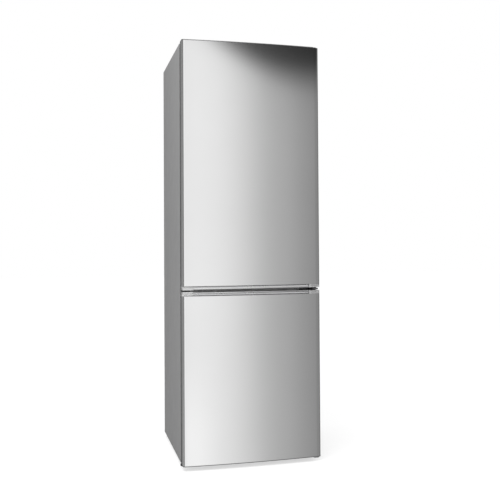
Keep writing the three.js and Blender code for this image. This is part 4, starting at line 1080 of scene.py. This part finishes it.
low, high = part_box("light_switch")
reach = (high.y - low.y) * 1000
profile = [(0, 0), (1.8, 0.3), (3.2, 1.2), (4, 3.2), (4, reach - 0.6), (3.4, reach), (0, reach)]
plunger = turned("switch", profile, (switch_x, low.y, control_level), axis=1)
fit(plunger, "light_switch", "white_liner", white_plastic, "light_switch")


# Freezer coils. Bare aluminium tube laid in loops, tied together by thin wires,
# carries the two upper drawers.
def rounded_path(points, radius, steps=5):
    """The route with each of its corners replaced by an arc."""
    points = [Vector(p) for p in points]
    path = [points[0]]
    for before, here, after in zip(points, points[1:], points[2:]):
        one, other = (before - here).normalized(), (after - here).normalized()
        half = one.angle(other) / 2
        reach = radius / math.tan(half)
        centre = here + (one + other).normalized() * radius / math.sin(half)
        begin, end = here + one * reach - centre, here + other * reach - centre
        turn = begin.angle(end)
        for i in range(steps + 1):
            share = i / steps
            spoke = begin * math.sin((1 - share) * turn) + end * math.sin(share * turn)
            path.append(centre + spoke / math.sin(turn))
    return path + [points[-1]]


def tube(name, points, radius, bend):
    """Round tube along a route with bends, made as a curve and turned into a mesh."""
    deselect()
    curve = bpy.data.curves.new(name, "CURVE")
    curve.dimensions = "3D"
    curve.bevel_depth = radius
    curve.bevel_resolution = 3
    curve.use_fill_caps = True
    path = rounded_path(points, bend)
    line = curve.splines.new("POLY")
    line.points.add(len(path) - 1)
    for point, place in zip(line.points, path):
        point.co = (*place, 1)
    piece = bpy.data.objects.new(name, curve)
    bpy.context.scene.collection.objects.link(piece)
    make_active(piece)
    bpy.ops.object.convert(target="MESH")
    return face_outwards(bpy.context.object)


def back_and_forth(rows, start):
    """(x, row) of both ends of each row in turn, beginning at x = start and turning round after each."""
    return [(x, row) for row in range(rows) for x in ((start, -start) if row % 2 == 0 else (-start, start))]


bare_aluminium = finish(
    "bare_aluminium", (0.62, 0.63, 0.64), (0.70, 0.71, 0.72), (0.33, 0.44), 700.0, 0.00004, Metallic=1.0,
)
pitch = 0.040
for node in ("freezer_evaporator_lower", "freezer_evaporator_upper"):
    low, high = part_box(node)
    level = (low.z + high.z) / 2
    rows = round((high.y - low.y - 0.007) / pitch) + 1
    first = (low.y + high.y - (rows - 1) * pitch) / 2
    route = [(x, first + row * pitch, level) for x, row in back_and_forth(rows, -0.2285)]
    coil = tube(node + "_coil", route, 0.004, 0.0185)
    level = high.z - 0.0012
    last = first + (rows - 1) * pitch
    places = [-0.198 + 0.033 * i for i in range(13)]
    wires = rods_across("wire", places, 0.0011, (first - 0.003, level), (last + 0.003, level), 8)
    fit(add_to(coil, *wires), "cabinet", "aluminium", bare_aluminium, node, angle=50)
repaint(bare_aluminium, "fridge_evaporator")


# Machine compartment. Two rollers under the rear rail: a black wheel with a
# softer tread, a hub and a steel axle each.
low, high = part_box("roller_left")
profile = [(0, 0), (2.4, 0), (2.8, 0.4), (2.8, 3.2), (5.8, 3.4), (6.6, 4), (6.6, 5.2), (10.4, 5.2)]
profile += [(11.2, 3.8), (13.2, 3.6), (14, 4.8), (14, 9.8), (13.6, 10.2), (13.6, 10.4)]
width = (high.x - low.x) * 1000
profile += [(radius, width - depth) for radius, depth in reversed(profile)]
for hand in ("left", "right"):
    place = (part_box(f"roller_{hand}")[0].x, 0.296, 0.014)
    wheel = turned(f"roller_wheel_{hand}", profile, place, axis=0, steps=36)
    fit(wheel, f"roller_{hand}", "black_plastic", black_plastic, f"roller_{hand}")


# Compressor. Two pressed steel domes in black enamel, welded along a belt, on a
# foot plate with rubber grommets, and a data plate left blank.
enamel = finish("black_enamel", (0.013, 0.013, 0.013), (0.021, 0.021, 0.021), (0.21, 0.32), 300.0, 0.00012)
low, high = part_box("compressor")
machine_y = 0.215
centre = Vector((0.080, machine_y, low.z))
profile = [(0, 16), (48, 16), (60, 17.2), (68, 20.5), (73.5, 26), (76.8, 33), (78, 41), (78, 66)]
profile += [(78.4, 68.5), (80, 70), (80, 75.7), (78.4, 77.2), (77.9, 80), (77.6, 95), (76.2, 113), (72.8, 130)]
profile += [(66.5, 143), (57, 152.5), (44, 158.5), (28, 161.5), (12, 162.7), (0, (high.z - low.z) * 1000 - 0.2)]
shell = turned("compressor_shell", profile, centre, steps=56)
pick(shell, "FACE", lambda middle, normal: True)
bpy.ops.transform.resize(value=(1.12, 1, 1), center_override=centre)
set_mode("OBJECT")
grommet = [(0, 0), (8.5, 0), (9, 0.6), (9, 4.2), (6.2, 5), (6.2, 7.4), (9, 8.2), (9, 11.4), (8.5, 12), (0, 12)]
foot_top = low.z + 0.0150
parts = [plate(
    "foot_plate", (low.x, machine_y - 0.060, low.z + 0.0120), (high.x, machine_y + 0.060, foot_top), 0.014,
)]
for x in (centre.x - 0.075, centre.x + 0.075):
    for y in (machine_y - 0.045, machine_y + 0.045):
        parts.append(turned("grommet", grommet, (x, y, low.z), steps=24))
        parts.append(screw((x, y, foot_top), 2, 1, 0.0045, 0.003))
parts.append(plate(
    "blank_plate", centre + Vector((-0.024, -0.02, 0.1600)),
    (centre.x + 0.024, centre.y + 0.02, high.z), 0.003,
))
fit(add_to(shell, *parts), "cabinet", "black_paint", enamel, "compressor")

low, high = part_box("terminal_cover")
cover = block("relay_cover", (low.x + 0.014, low.y, low.z), high)
round_off(cover, "EDGE", lambda a, b: max(a.x, b.x) < -0.05 or abs(a.x - b.x) > 0.02, 0.005, 4)
level = low.z + 0.0233
gland = round_bar("gland", 0.008, (low.x, machine_y, level), (low.x + 0.018, machine_y, level), 32)
combine(cover, [gland], "UNION")
bore = round_bar("bore", 0.004, (low.x - 0.01, machine_y, level), (low.x + 0.036, machine_y, level))
combine(cover, [bore])
soften(cover, 0.0006)
clip = block("clip", (low.x + 0.0132, 0.204, low.z + 0.045), (low.x + 0.0142, 0.226, low.z + 0.060))
soften(clip, 0.0004, 2, 30)
fit(add_to(cover, clip), "cabinet", "black_plastic", black_plastic, "terminal_cover", angle=40)

low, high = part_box("evaporation_tray")
pan = soften(tray("melt_water_pan", low, high, 0.0025, 0.014, foot=0.003), 0.0006)
ribs = bars_across(
    "pan_rib", [low.x + 0.017 + 0.02 * i for i in range(6)], 0.001,
    (low.y + 0.01, low.z + 0.0023), (high.y - 0.01, low.z + 0.0044),
)
pan_plastic = finish("pan_moulding", (0.17, 0.175, 0.18), (0.21, 0.215, 0.22), (0.40, 0.51), 900.0, 0.00008)
fit(add_to(pan, *ribs), "cabinet", "grey_plastic", pan_plastic, "evaporation_tray", angle=40)


# Condenser. Black enamelled steel tube in loops with upright wires welded to
# both sides and two straps that hold it clear of the back.
low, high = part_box("condenser")
row_y, side_x, half = 0.312, 0.232, 0.205
runs, run_pitch, first = 17, 0.080, 0.362
last = first + (runs - 1) * run_pitch
loops = [(x, row_y, first + row * run_pitch) for x, row in back_and_forth(runs, half)]
route = [(side_x, row_y, low.z), (side_x, row_y, first)] + loops[1:-1]
coil = tube("condenser_coil", route + [(-side_x, row_y, last), (-side_x, row_y, low.z)], 0.0025, 0.0262)
straps = (-0.180, 0.180)
parts = []
places = [-0.1995 + 0.399 * i / 37 for i in range(38)]
places = [x for x in places if abs(abs(x) - straps[1]) >= 0.008]
for y in (row_y - 0.0029, row_y + 0.0026):
    parts += rods_across("wire", places, 0.0008, (y, first - 0.012), (y, last + 0.012), 6)
strap = (row_y + 0.0015, first - 0.016), (high.y, last + 0.016)
parts += bars_across("strap", straps, 0.006, *strap, 0.0004, 1, 30)
wall = low.y
for level in (first - 0.012, (first + last) / 2, last + 0.012):
    parts += bars_across("tab", straps, 0.006, (wall, level - 0.001), (row_y + 0.0020, level + 0.001))
    parts += bars_across("tab_foot", straps, 0.006, (wall, level - 0.009), (wall + 0.001, level + 0.001))
    parts += [screw((x, wall + 0.001, level - 0.0052), 1, 1, 0.003, 0.0012) for x in straps]
fit(add_to(coil, *parts), "cabinet", "black_paint", enamel, "condenser", angle=50)


# Copper lines. A drawn drier at the foot of the condenser, the discharge pipe
# from the compressor to it and the suction pipe back through the rear panel.
copper = finish(
    "drawn_copper", (0.55, 0.25, 0.14), (0.66, 0.33, 0.19), (0.25, 0.36), 500.0, 0.00005, Metallic=1.0,
)
low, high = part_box("filter_drier")
length = (high.z - low.z) * 1000
profile = [(0, 0), (2.5, 0), (2.5, 8), (3.2, 10), (6.2, 16), (8.2, 18.5), (9, 22)]
profile += [(9, 30), (8.6, 31), (8.6, 32.2), (9, 33.2)]
profile += [(radius, length - height) for radius, height in reversed(profile)]
drier = turned("drier", profile, (-side_x, row_y, low.z))
fit(drier, "cabinet", "copper", copper, "filter_drier")

pipe_radius = 0.003
low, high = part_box("discharge_pipe")
level = low.z + pipe_radius
pipe = tube("discharge_line", [
    (low.x, machine_y, level), (side_x, machine_y, level), (side_x, row_y, level), (side_x, row_y, high.z),
], pipe_radius, 0.014)
fit(pipe, "cabinet", "copper", copper, "discharge_pipe", angle=50)
low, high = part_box("suction_pipe")
x, bottom, top = centre.x, low.z + pipe_radius, high.z - pipe_radius
pipe = tube("suction_line", [
    (x, low.y, bottom), (x, row_y, bottom), (x, row_y, top), (x, 0.2993, top),
], pipe_radius, 0.008)
fit(pipe, "cabinet", "copper", copper, "suction_pipe", angle=50)


# Foam. Cream rigid foam fills the cabinet and both doors between their skins.
foam = finish("rigid_foam", (0.68, 0.60, 0.40), (0.76, 0.69, 0.50), (0.80, 0.91), 260.0, 0.0006)
repaint(foam, "cabinet_foam", "fridge_door_foam", "freezer_door_foam")
